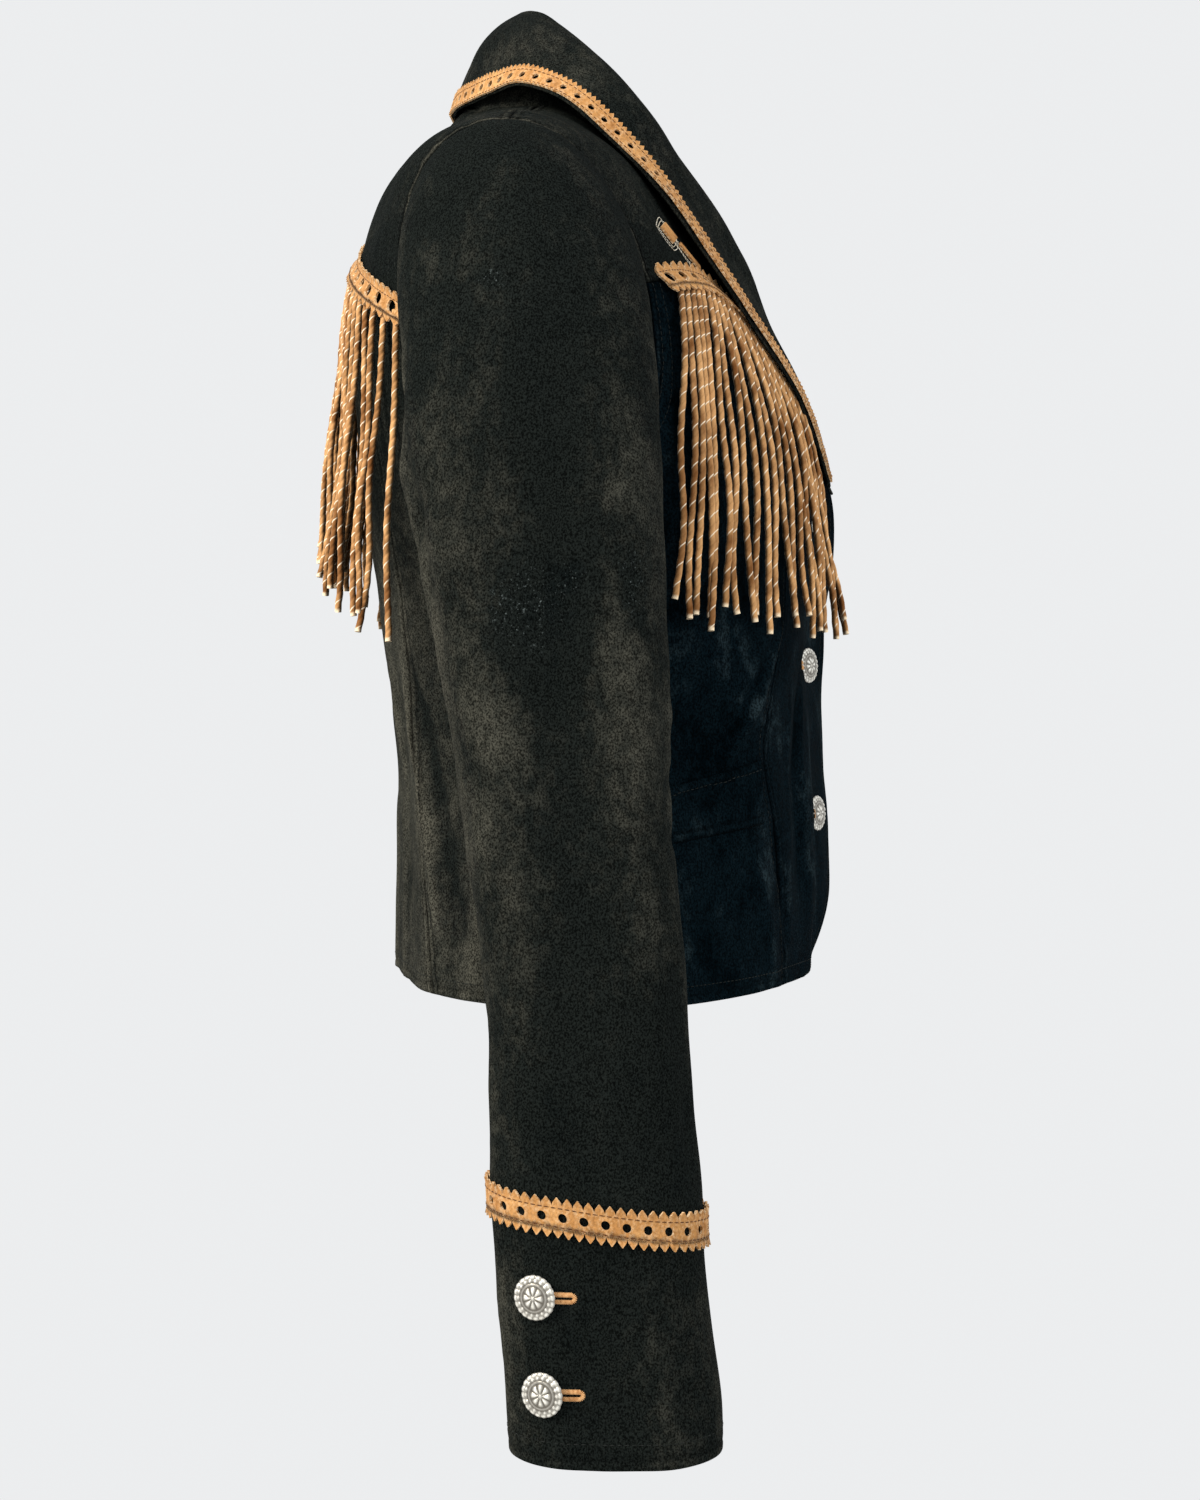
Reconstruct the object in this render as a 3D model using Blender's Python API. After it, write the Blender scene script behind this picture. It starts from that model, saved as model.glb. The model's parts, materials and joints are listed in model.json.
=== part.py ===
"""Short western jacket in black suede, with tan pinked bands and cord fringe.

It is modelled hollow, in the shape that it takes when worn. Metres, +Z up. The
front faces -Y and the wearer's right is -X. The origin is the middle of the neck
opening, at the height where the shoulder seams meet the neck.

The body is one smooth surface, body(theta, v). theta runs round the wearer from
the centre front (0) over the side (pi / 2) to the centre back (pi), and v runs up
from the hem (0) to the neck seam (1). Every panel, and every piece that is sewn on
a panel, is a patch of that surface or of the sleeve's or the collar's.
"""

import math

import bmesh
import bpy
import numpy as np
from mathutils import Matrix, Vector

# ---------------------------------------------------------------- driving sizes
SUEDE = 0.0016  # thickness of the black suede panels
TAN_SUEDE = 0.0012  # thickness of the tan bands and inlays
SEAM_INSET = 0.0002  # each panel stops this short of its seam line
INNER_BEVEL = 0.0009  # its inner face stops this much shorter still
LAY_GAP = 0.0004  # air between a sewn-on piece and what it lies on
FRINGE_GAP = 0.0008  # the same under a piece that crosses several panels or facets
COLLAR_GAP = 0.0009  # and under the band along the collar

HEM_Z = -0.468
BREAK_Z = -0.190  # where the collar's roll line meets the front edge
OVERLAP = 0.018  # the fronts cross the centre line by this much
UNDERLAP_LOW = 0.0032  # the left front lies this far inside the right one
UNDERLAP_HIGH = 0.0062  # and this far by the break, where its lapel is under there too
CORNER_WIDTH = 0.088  # rounded lower corner of each front
CORNER_HEIGHT = 0.054
FLARE_FROM = 0.022  # the right front stands forward from this far before its centre line

BAND_HALF = 0.0073  # half the height of a tan band, to the middle of its teeth
COLLAR_BAND_WIDTH = 0.0135

BUTTON_RADIUS = 0.0098
# Each button's place, and how far its shank's foot lies from the smooth cloth.
FRONT_BUTTONS = {"top": (-0.2147, 0.0004), "middle": (-0.2976, 0.0008), "bottom": (-0.3804, 0.0012)}
BUTTON_X = -0.018
CUFF_BUTTONS = {"upper": (-0.0027, -0.5815, -0.0001), "lower": (-0.0060, -0.6230, 0.0003)}

CORD_SIDE = 0.0029  # side of a fringe cord's square section
FRINGE_START = {-1: math.radians(17.0), 1: math.radians(22.0)}  # by side, under the lapel
CORD_CLEAR = 0.0014  # the cords stand this much further off below their roots
FRONT_CORDS = 23  # cords on each front yoke
BACK_CORDS = 46
STRIP_TOP, STRIP_LOW = -0.0012, -0.0055  # the strip that the cords hang from, below the seam
FRONT_FRINGE_END = -0.2795
BACK_FRINGE_LENGTH = 0.152

BLACK = (0.012, 0.012, 0.013)
TAN = (0.46, 0.22, 0.075)
SILVER = (0.72, 0.70, 0.66)

# Cross-sections of the body from hem to neck. z and y are given at the centre
# front, side and centre back. power sets how square each half is: 2 is an ellipse.
SECTION_COLUMNS = (
    "v", "z_front", "z_side", "z_back", "half_width", "y_front", "y_side", "y_back",
    "power_front", "power_back",
)
BODY_SECTIONS = {
    "hem":       (0.00, -0.468, -0.470, -0.463, 0.181, -0.1510, -0.037, 0.082, 1.60, 2.40),
    "hip":       (0.12, -0.405, -0.405, -0.405, 0.172, -0.1515, -0.037, 0.082, 1.65, 2.40),
    "waist":     (0.25, -0.345, -0.345, -0.345, 0.160, -0.1480, -0.034, 0.084, 1.80, 2.40),
    "ribs":      (0.40, -0.272, -0.272, -0.272, 0.166, -0.1460, -0.029, 0.092, 2.00, 2.40),
    "bust":      (0.55, -0.205, -0.205, -0.205, 0.176, -0.1500, -0.018, 0.101, 1.95, 2.50),
    "chest":     (0.68, -0.148, -0.142, -0.138, 0.185, -0.1390, -0.004, 0.106, 1.62, 2.50),
    "yoke":      (0.79, -0.098, -0.087, -0.080, 0.197, -0.1140, 0.006, 0.103, 1.42, 2.15),
    "shoulder":  (0.88, -0.062, -0.0445, -0.036, 0.190, -0.0830, 0.013, 0.087, 1.45, 1.90),
    "mid":       (0.94, -0.043, -0.022, -0.008, 0.131, -0.0630, 0.009, 0.066, 1.65, 1.90),
    "neck":      (1.00, -0.026, 0.000, 0.020, 0.070, -0.0460, 0.002, 0.045, 2.00, 2.00),
}
# How far the right front's edge stands forward at each height v.
FLARE_V = (0.00, 0.12, 0.25, 0.40, 0.55, 0.72)
FLARE = (0.0140, 0.0135, 0.0135, 0.0155, 0.0165, 0.0)

# The armhole is an oval on the body surface.
ARM_V_LOW, ARM_V_TOP = 0.560, 0.880
ARM_FRONT = math.radians(19.0)
ARM_BACK = math.radians(22.4)

# The seam lines below the yoke, as theta in degrees at each height v.
PRINCESS_V = (0.00, 0.12, 0.25, 0.40, 0.55, 0.72)
PRINCESS_FRONT = (42.5, 46.0, 52.5, 43.5, 43.0, 46.0)
PRINCESS_BACK = (124.0, 128.0, 132.0, 133.0, 131.0, 128.0)

# The yoke seams, as height v at the armhole and at the centre line.
YOKE_FRONT_THETA = (0.0, 15.0, 30.0, 43.0, 51.0, 60.0, 72.0)
YOKE_FRONT_V = (0.668, 0.705, 0.742, 0.761, 0.764, 0.756, 0.734)
YOKE_BACK = {"at_arm": 0.697, "at_centre": 0.812, "arch": 2.3}
YOKE_FRONT_ARM, YOKE_BACK_ARM = math.radians(72.0), math.radians(111.3)

# Sleeve: the outer line runs down from the shoulder point, the inner line from the
# underarm. Both are x and z on the wearer's left.
SLEEVE_COLUMNS = ("outer_x", "outer_z", "inner_x", "inner_z")
SLEEVE_LINES = {
    "seam":     (0.190, -0.0445, 0.179, -0.200),
    "cap":      (0.212, -0.0555, 0.184, -0.205),
    "head":     (0.234, -0.084, 0.189, -0.213),
    "under":    (0.249, -0.130, 0.192, -0.225),
    "biceps":   (0.257, -0.190, 0.194, -0.248),
    "elbow_up": (0.260, -0.255, 0.195, -0.288),
    "elbow":    (0.263, -0.342, 0.197, -0.356),
    "forearm":  (0.268, -0.425, 0.202, -0.430),
    "wrist_up": (0.274, -0.501, 0.209, -0.503),
    "wrist":    (0.280, -0.585, 0.215, -0.5855),
    "cuff":     (0.283, -0.655, 0.218, -0.655),
}
# Front and back edges of the sleeve at falling heights.
SLEEVE_EDGE_Z = (-0.100, -0.137, -0.197, -0.221, -0.257, -0.300, -0.342, -0.384,
                 -0.425, -0.466, -0.501, -0.545, -0.585, -0.634, -0.655)
SLEEVE_FRONT_Y = (-0.053, -0.0545, -0.0571, -0.0590, -0.0598, -0.0606, -0.0623, -0.0635,
                  -0.0669, -0.0695, -0.0724, -0.0763, -0.0776, -0.0843, -0.0850)
SLEEVE_BACK_Y = (0.0640, 0.0656, 0.0600, 0.0610, 0.0535, 0.0453, 0.0377, 0.0311,
                 0.0254, 0.0207, 0.0200, 0.0190, 0.0158, 0.0114, 0.0105)
SLEEVE_BLEND = 0.36  # share of the sleeve over which the armhole oval becomes a tube
SLEEVE_BAND_Z = {"front": -0.557, "back": -0.543}
SLEEVE_SEAMS = (math.radians(122.2), math.radians(252.6))  # front and back seam

# The neck seam on the wearer's left at stations t, 0 at the centre back, 0.3 at the
# shoulder seam and 1 at the break: theta behind the shoulder, and x and z seen from
# the front before it.
NECK_BEHIND = (180.0, 150.0, 119.0, 90.0)
NECK_BEFORE = ((0.0655, -0.0230), (0.0590, -0.0480), (0.0480, -0.0730), (0.0350, -0.1000),
               (0.0200, -0.1290), (0.0030, -0.1600), (-0.0180, -0.1960))

# Collar, on the wearer's left: its roll line and its outer edge at the stations t.
COLLAR_T = (0.0, 0.10, 0.20, 0.30, 0.40, 0.50, 0.60, 0.70, 0.80, 0.90, 1.0)
COLLAR_ROLL = ((0.000, 0.0150, 0.0735), (0.026, 0.0110, 0.0670), (0.047, 0.0000, 0.0585),
               (0.058, -0.0150, 0.0430), (0.0635, -0.0380, 0.0190), (0.0655, -0.0600, -0.0100),
               (0.0560, -0.0868, -0.0430), (0.0390, -0.1110, -0.0760), (0.0220, -0.1270, -0.1100),
               (0.0040, -0.1500, -0.1480), (-0.0180, -0.1665, -0.1900))
COLLAR_EDGE = ((0.000, 0.0546, 0.0169), (0.034, 0.0470, 0.0108), (0.066, 0.0290, 0.0078),
               (0.090, 0.0116, 0.0050), (0.107, -0.0120, -0.0085), (0.112, -0.0360, -0.0310),
               (0.1095, -0.0620, -0.0590), (0.101, -0.0870, -0.0900), (0.085, -0.1110, -0.1210),
               (0.054, -0.1390, -0.1585), (-0.013, -0.1580, -0.1950))
COLLAR_ON_CHEST = 6  # from this station on, the collar lies on the front
COLLAR_LIFT = 0.0084  # the lapel's outer face above the front, over the fringe
LAPEL_LIFT = 0.0042  # and at the roll line
LAPEL_LIFT_UNDER = 0.0023  # the same where the right front covers the left lapel
NECK_GAP = 0.0010  # between the neck seam and the collar's edge
COLLAR_ROWS = (0.0, 0.16, 0.26, 0.34, 0.56, 0.78, 1.0)  # w of the collar's guide rows
# Inlay on each front yoke: a lozenge and a bar, in metres along and up the yoke
# from its middle. along points to the centre front.
INLAY_AT = {"x": 0.1180, "z": -0.0810}
LOZENGE = ((-0.0090, 0.0005), (-0.0010, 0.0062), (0.0085, 0.0000), (-0.0005, -0.0062))
BAR = ((0.0076, -0.0046), (0.0105, -0.0018), (0.0275, -0.0116), (0.0247, -0.0148))
POCKET = {"theta_front": 54.5, "theta_back": 86.0, "low_front": 0.166, "low_back": 0.144,
          "top_front": 0.240, "top_back": 0.202}


# ------------------------------------------------------------- smooth functions
def smooth_through(knots, values, at):
    """Cubic curve through values at the rising knots, read at any array of places."""
    knots = np.asarray(knots, float)
    values = np.asarray(values, float)
    at = np.clip(np.asarray(at, float), knots[0], knots[-1])
    steps = np.diff(knots)
    slopes = np.diff(values, axis=0) / steps.reshape(-1, *[1] * (values.ndim - 1))
    tangents = np.empty_like(values)
    tangents[0], tangents[-1] = slopes[0], slopes[-1]
    before = steps[:-1].reshape(-1, *[1] * (values.ndim - 1))
    after = steps[1:].reshape(-1, *[1] * (values.ndim - 1))
    tangents[1:-1] = (slopes[:-1] * after + slopes[1:] * before) / (before + after)
    i = np.clip(np.searchsorted(knots, at, side="right") - 1, 0, len(steps) - 1)
    h = steps[i]
    u = (at - knots[i]) / h
    h, u = (a.reshape(a.shape + (1,) * (values.ndim - 1)) for a in (h, u))
    return (
        values[i] * (1 + 2 * u) * (1 - u) ** 2
        + tangents[i] * h * u * (1 - u) ** 2
        + values[i + 1] * u * u * (3 - 2 * u)
        + tangents[i + 1] * h * u * u * (u - 1)
    )


def ease(x):
    """0 below 0, 1 above 1, and a smooth step between."""
    x = np.clip(x, 0.0, 1.0)
    return x * x * (3 - 2 * x)


def unit(vectors):
    return vectors / np.maximum(np.linalg.norm(vectors, axis=-1, keepdims=True), 1e-12)


def lifted(surface, a, b, out=0.0, step=1e-4):
    """Points of a surface at (a, b), moved out along its normal."""
    a, b = np.broadcast_arrays(np.asarray(a, float), np.asarray(b, float))
    along_a = surface(a + step, b) - surface(a - step, b)
    along_b = surface(a, b + step) - surface(a, b - step)
    normal = unit(np.cross(along_a, along_b))
    return surface(a, b) + normal * np.asarray(out, float)[..., None]


# -------------------------------------------------------------- the body surface
SECTION_V = np.array([row[0] for row in BODY_SECTIONS.values()])
SECTION_SIZES = np.array([row[1:] for row in BODY_SECTIONS.values()])


def body(theta, v):
    """Outer face of the wearer's left half. A negative theta crosses the centre front."""
    theta, v = np.broadcast_arrays(np.asarray(theta, float), np.asarray(v, float))
    sizes = smooth_through(SECTION_V, SECTION_SIZES, v)
    z_front, z_side, z_back, half_width, y_front, y_side, y_back, n_front, n_back = (
        np.moveaxis(sizes, -1, 0)
    )
    c, s = np.cos(theta), np.sin(theta)
    is_front = c >= 0
    depth = np.where(is_front, y_side - y_front, y_back - y_side)
    power = np.where(is_front, n_front, n_back)
    radius = (np.abs(c / depth) ** power + np.abs(s / half_width) ** power) ** (-1 / power)
    radius = radius + body_folds(theta, v)
    x = radius * s
    y = y_side - radius * c
    z = z_side + np.where(is_front, z_front - z_side, z_back - z_side) * c * c
    return np.stack([x, y, z], axis=-1)


# Soft folds of the body: theta and its drift from low to high v, half-width in
# theta, v range, and height out (a trough is negative).
FOLD_COLUMNS = ("theta_low", "theta_high", "half_width", "v_low", "v_high", "height")
BODY_FOLDS = {
    "front_flare":   (24.0, 14.0, 6.0, -0.10, 0.34, 0.0035),
    "front_trough":  (35.0, 27.0, 6.0, -0.05, 0.40, -0.0035),
    "pocket_ridge":  (62.0, 44.0, 7.0, 0.20, 0.52, 0.0040),
    "side_trough":   (74.0, 70.0, 8.0, -0.10, 0.45, -0.0035),
    "side_ridge":    (98.0, 96.0, 8.0, -0.10, 0.42, 0.0035),
    "back_ridge":    (122.0, 138.0, 6.0, -0.15, 0.55, 0.0045),
    "back_trough":   (142.0, 150.0, 8.0, -0.10, 0.45, -0.0040),
    "centre_ridge":  (165.0, 168.0, 8.0, -0.20, 0.40, 0.0030),
}


def body_folds(theta, v):
    degrees = np.degrees(theta)
    out = np.zeros_like(degrees)
    for low, high, half_width, v_low, v_high, height in BODY_FOLDS.values():
        along = np.clip((v - v_low) / (v_high - v_low), 0, 1)
        centre = low + (high - low) * along
        out = out + height * np.exp(-(((degrees - centre) / half_width) ** 2)) * (
            np.sin(math.pi * along) ** 2
        )
    return out


def body_at(x, z, back=False):
    """theta and v of the body point whose front-view position is (x, z)."""
    x, z = np.broadcast_arrays(np.asarray(x, float), np.asarray(z, float))
    height = SECTION_SIZES[:, 2] if back else SECTION_SIZES[:, 0]
    v = np.interp(z, height, SECTION_V)
    sign = -1.0 if back else 1.0
    theta = np.arctan2(x, 0.11 * np.ones_like(x))
    theta = math.pi - theta if back else theta
    step = 1e-5
    for _ in range(30):
        here = body(theta, v)
        error_x, error_z = here[..., 0] - x, here[..., 2] - z
        by_theta = (body(theta + step, v) - here) / step
        by_v = (body(theta, v + step) - here) / step
        det = by_theta[..., 0] * by_v[..., 2] - by_v[..., 0] * by_theta[..., 2]
        det = np.where(np.abs(det) < 1e-6, 1e-6 * sign, det)
        move_theta = (error_x * by_v[..., 2] - error_z * by_v[..., 0]) / det
        move_v = (error_z * by_theta[..., 0] - error_x * by_theta[..., 2]) / det
        theta = theta - np.clip(move_theta, -0.15, 0.15)
        v = np.clip(v - np.clip(move_v, -0.05, 0.05), 0.0, 1.0)
    return theta, v


OUTLINE_THETA = np.linspace(0.0, math.pi, 361)
OUTLINE_V = np.linspace(0.0, 1.0, 201)
OUTLINE_Z = body(OUTLINE_THETA[:, None], OUTLINE_V[None, :])[..., 2]


def outline_at(z):
    """The body's outline from above at height z: theta, v, points (x, y) and the
    directions that point out of it."""
    v = np.array([np.interp(z, heights, OUTLINE_V) for heights in OUTLINE_Z])
    points = body(OUTLINE_THETA, v)[:, :2]
    along = np.gradient(points, axis=0)
    return OUTLINE_THETA, v, points, unit(np.stack([along[:, 1], -along[:, 0]], axis=-1))


def armhole(phi):
    """theta and v of the armhole oval. phi is 0 at the shoulder point, 90 in front."""
    middle = (ARM_V_TOP + ARM_V_LOW) / 2
    half = (ARM_V_TOP - ARM_V_LOW) / 2
    wide = np.sin(phi)
    theta = math.pi / 2 - np.where(wide > 0, ARM_FRONT, ARM_BACK) * wide
    return theta, middle + half * np.cos(phi)


def side_edge(v, back):
    """theta of the side seam, or of the armhole above it."""
    middle = (ARM_V_TOP + ARM_V_LOW) / 2
    half = (ARM_V_TOP - ARM_V_LOW) / 2
    wide = math.sqrt(max(0.0, 1 - ((v - middle) / half) ** 2))
    return math.pi / 2 + (ARM_BACK if back else -ARM_FRONT) * wide


def front_edge(v):
    """theta of the front's free edge: overlap, rounded lower corner, neck edge."""
    z = float(body(0.0, v)[2])
    x = -OVERLAP
    if z < HEM_Z + CORNER_HEIGHT:
        down = (HEM_Z + CORNER_HEIGHT - z) / CORNER_HEIGHT
        x += CORNER_WIDTH * (1 - math.sqrt(max(0.0, 1 - (0.985 * down) ** 2)))
    theta = 0.0
    for _ in range(20):
        theta += (x - float(body(theta, v)[0])) / 0.12
    return theta


def neck_stations():
    """theta and v of the neck seam at each COLLAR_T."""
    x, z = np.array(NECK_BEFORE).T
    theta, v = body_at(x, z)
    behind = np.radians(NECK_BEHIND)
    return np.concatenate([behind, theta]), np.concatenate([np.ones(len(behind)), v])


def neck_seam(t):
    """theta and v of the neck seam at any t."""
    return smooth_through(COLLAR_T, NECK_THETA, t), smooth_through(COLLAR_T, NECK_V, t)


def front_lift(theta, v, side):
    """How far the right front (side -1) stands out by its edge, and how far the left
    front (side 1) is set in, where the right one covers it."""
    if side < 0:
        x = body(theta, v)[..., 0]
        share = np.clip((FLARE_FROM - x) / (FLARE_FROM + OVERLAP), 0, 1)
        return smooth_through(FLARE_V, FLARE, v) * share ** 1.5 * (np.abs(theta) < 1)
    depth = UNDERLAP_LOW + (UNDERLAP_HIGH - UNDERLAP_LOW) * ease((v - 0.48) / 0.07)
    near_front = 1 - ease((np.degrees(theta) - 10.0) / 22.0)
    return -depth * near_front * (1 - ease((v - 0.70) / 0.12))


def front(side):
    """The body surface with this side's flare or underlap."""
    return lambda theta, v: lifted(body, theta, v, front_lift(theta, v, side))


def yoke_line(theta, back=False):
    """Height v of the yoke seam."""
    if back:
        share = (math.pi - theta) / (math.pi - YOKE_BACK_ARM)
        fall = YOKE_BACK["at_centre"] - YOKE_BACK["at_arm"]
        return YOKE_BACK["at_centre"] - fall * np.abs(share) ** YOKE_BACK["arch"]
    return smooth_through(YOKE_FRONT_THETA, YOKE_FRONT_V, np.degrees(theta))


def princess(v, back=False):
    table = PRINCESS_BACK if back else PRINCESS_FRONT
    return math.radians(float(smooth_through(PRINCESS_V, table, v)))


# ------------------------------------------------------------ the sleeve surface
SLEEVE_TABLE = np.array(list(SLEEVE_LINES.values()))
SLEEVE_T = np.concatenate([[0.0], np.cumsum(np.linalg.norm(
    np.diff((SLEEVE_TABLE[:, :2] + SLEEVE_TABLE[:, 2:]) / 2
            + 0.25 * (SLEEVE_TABLE[:, :2] - SLEEVE_TABLE[:, 2:]), axis=0), axis=1))])
SLEEVE_T = SLEEVE_T / SLEEVE_T[-1]


def sleeve(phi, t):
    """Outer face of the left sleeve: phi runs round it from its outer line (0) over its
    front, and t is 0 at the armhole and 1 at the cuff."""
    t, phi = np.broadcast_arrays(np.asarray(t, float), np.asarray(phi, float))
    outer_x, outer_z, inner_x, inner_z = np.moveaxis(
        smooth_through(SLEEVE_T, SLEEVE_TABLE, t), -1, 0
    )
    z = (outer_z + inner_z) / 2 + (outer_z - inner_z) / 2 * np.cos(phi)
    middle_z = (outer_z + inner_z) / 2
    rising_z = -np.asarray(SLEEVE_EDGE_Z)
    front_y = smooth_through(rising_z, SLEEVE_FRONT_Y, -middle_z)
    back_y = smooth_through(rising_z, SLEEVE_BACK_Y, -middle_z)
    middle_y = (front_y + back_y) / 2
    c, s = np.cos(phi), np.sin(phi)
    round_off = (np.abs(c) ** 2.2 + np.abs(s) ** 2.2) ** (-1 / 2.2)
    x = (outer_x + inner_x) / 2 + (outer_x - inner_x) / 2 * c * round_off
    y = middle_y + np.where(s > 0, front_y - middle_y, middle_y - back_y) * s * round_off
    tube = np.stack([x, y, z + sleeve_folds(t, phi) * 0], axis=-1)
    tube = tube + sleeve_folds(t, phi)[..., None] * np.stack([c, -s, 0 * c], axis=-1)
    ring = body(*armhole(phi))
    share = np.clip(t / SLEEVE_BLEND, 0, 1)[..., None]
    share = share * (2 - share)
    puff = 0.006 * np.sin(math.pi * np.clip(t / SLEEVE_BLEND, 0, 1))[..., None]
    return ring * (1 - share) + tube * share + puff * np.stack([c, -s, 0 * c], axis=-1) * (
        np.clip(c, 0, 1)[..., None]
    )


# Folds of the sleeve: phi and its drift down the sleeve, half-width in degrees,
# t range and height out.
SLEEVE_FOLDS = {
    "outer_trough":  (352.0, 372.0, 17.0, 0.20, 0.80, -0.0030),
    "front_ridge":   (48.0, 40.0, 14.0, 0.16, 0.75, 0.0025),
    "back_ridge":    (305.0, 318.0, 14.0, 0.22, 0.90, 0.0025),
    "back_trough":   (284.0, 290.0, 12.0, 0.12, 0.45, -0.0040),
    "under_trough":  (180.0, 176.0, 24.0, 0.15, 0.95, -0.0060),
    "cuff_trough":   (372.0, 366.0, 22.0, 0.70, 1.15, -0.0022),
}


def sleeve_folds(t, phi):
    degrees = np.degrees(phi)
    out = np.zeros_like(degrees)
    for low, high, half_width, t_low, t_high, height in SLEEVE_FOLDS.values():
        along = np.clip((t - t_low) / (t_high - t_low), 0, 1)
        centre = low + (high - low) * along
        apart = (degrees - centre + 180) % 360 - 180
        out = out + height * np.exp(-((apart / half_width) ** 2)) * np.sin(math.pi * along) ** 2
    return out


# ------------------------------------------------------------ the collar surface
NECK_THETA, NECK_V = neck_stations()


def lapel_lift(x, z, share, side):
    """Height of the lapel's outer face above the front, share of the way from its roll
    line to its outer edge."""
    lift = LAPEL_LIFT + (COLLAR_LIFT - LAPEL_LIFT) * ease(share * 2.4)
    if side < 0:
        free = ease((x + 0.016) / 0.028)
    else:
        roll = np.array(COLLAR_ROLL)
        cover = 0.004 - np.interp(-z, -roll[:, 2], roll[:, 0])
        free = ease((x - cover) / 0.018)
    return LAPEL_LIFT_UNDER + (lift - LAPEL_LIFT_UNDER) * free


def collar_guides(side):
    """Rows of points along the collar: its seam, either side of the roll, the roll
    line, two across the fall, and its outer edge."""
    roll, edge = np.array(COLLAR_ROLL), np.array(COLLAR_EDGE)
    count = len(COLLAR_T)
    seam = lifted(body, NECK_THETA, NECK_V, front_lift(NECK_THETA, NECK_V, side) - SUEDE)
    seam = seam + unit(roll - seam) * NECK_GAP
    rows = [seam, seam + (roll - seam) * 0.72, roll]
    across = edge - roll
    outward = unit(np.cross(np.gradient(roll, axis=0), across))
    for share, crown in ((0.10, 0.0040), (0.38, 0.0090), (0.70, 0.0060), (1.0, 0.0)):
        flat = (np.arange(count) >= COLLAR_ON_CHEST)[:, None]
        rows.append(roll + across * share + outward * crown * np.where(flat, 0.35, 1.0))
    for row, share in zip(rows[1:], (-0.1, 0.0, 0.10, 0.38, 0.70, 1.0)):
        on_chest = row[COLLAR_ON_CHEST:]
        theta, v = body_at(on_chest[:, 0], on_chest[:, 2])
        base = front_lift(theta, v, side)
        if share < 0:
            least = lifted(body, theta, v, base - SUEDE)
        elif share == 0:
            least = lifted(body, theta, v, base + LAPEL_LIFT_UNDER / 2 - SUEDE / 2)
        else:
            lift = lapel_lift(on_chest[:, 0], on_chest[:, 2], share, side)
            least = lifted(body, theta, v, base + lift)
        first = -1.0 if share < 0.3 else 0.5
        lying = ease((np.arange(len(on_chest)) + first) / 3.0)[:, None]
        nearer = np.minimum(on_chest[:, 1], least[:, 1])
        free = on_chest.copy()
        free[:, 1] = nearer
        on_chest[:] = free * (1 - lying) + least * lying
    return np.stack(rows, axis=1)


COLLAR_GUIDES = {side: collar_guides(side) for side in (-1, 1)}


def collar(side):
    """Outer face of one half of the collar, as a function of t from the centre back to
    the break and w from its seam over the roll line to its outer edge."""

    def surface(t, w):
        t, w = np.broadcast_arrays(np.asarray(t, float), np.asarray(w, float))
        rows = smooth_through(COLLAR_T, COLLAR_GUIDES[side], np.abs(t))
        rows = np.where((t < 0)[..., None, None], rows * np.array([-1.0, 1, 1]), rows)
        weights = smooth_through(COLLAR_ROWS, np.eye(len(COLLAR_ROWS)), w)
        return np.einsum("...k,...kc->...c", weights, rows)

    return surface


# ------------------------------------------------------------------ mesh makers
def new_object(name, mesh, material, collection):
    thing = bpy.data.objects.new(name, mesh)
    mesh.materials.append(material)
    collection.objects.link(thing)
    mesh.shade_smooth()
    mesh.set_sharp_from_angle(angle=math.radians(40))
    return thing


def plate(name, outer, inner, faces, material, collection):
    """A closed wall between two sheets of points that share the same faces."""
    bm = bmesh.new()
    top = [bm.verts.new(p) for p in outer]
    low = [bm.verts.new(p) for p in inner]
    edges = {}
    for face in faces:
        bm.faces.new([top[i] for i in face])
        bm.faces.new([low[i] for i in reversed(face)])
        for a, b in zip(face, face[1:] + face[:1]):
            edges[a, b] = edges.get((a, b), 0) + 1
    for a, b in edges:
        if (b, a) not in edges:
            bm.faces.new([top[b], top[a], low[a], low[b]])
    bmesh.ops.recalc_face_normals(bm, faces=bm.faces)
    mesh = bpy.data.meshes.new(name)
    bm.to_mesh(mesh)
    bm.free()
    return new_object(name, mesh, material, collection)


def grid_faces(rows, columns):
    return [
        [r * columns + c, r * columns + c + 1, (r + 1) * columns + c + 1, (r + 1) * columns + c]
        for r in range(rows - 1)
        for c in range(columns - 1)
    ]


def inset_edges(outer, inner, amount):
    """Pulls the border of a grid of points in by amount, and by more on the inner face,
    so that two panels that meet at an angle stay apart."""
    moved_outer, moved_inner = outer.copy(), inner.copy()
    for edge, next_in in ((np.s_[0, :], np.s_[1, :]), (np.s_[-1, :], np.s_[-2, :]),
                          (np.s_[:, 0], np.s_[:, 1]), (np.s_[:, -1], np.s_[:, -2])):
        shift = unit(outer[next_in] - outer[edge])
        moved_outer[edge] += shift * amount
        moved_inner[edge] += shift * (amount + INNER_BEVEL)
    return moved_outer, moved_inner


def mirrored(points, side):
    return points * np.array([side, 1.0, 1.0])


def cloth(name, surface, a, b, side, material, collection, out=0.0, thickness=SUEDE,
          inset=SEAM_INSET):
    """A panel: the surface's points at a grid of (a, b), as a wall of cloth."""
    outer = mirrored(lifted(surface, a, b, out), side)
    inner = mirrored(lifted(surface, a, b, out - thickness), side)
    outer, inner = inset_edges(outer, inner, inset)
    rows, columns = a.shape
    return plate(name, outer.reshape(-1, 3), inner.reshape(-1, 3),
                 grid_faces(rows, columns), material, collection)


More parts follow.
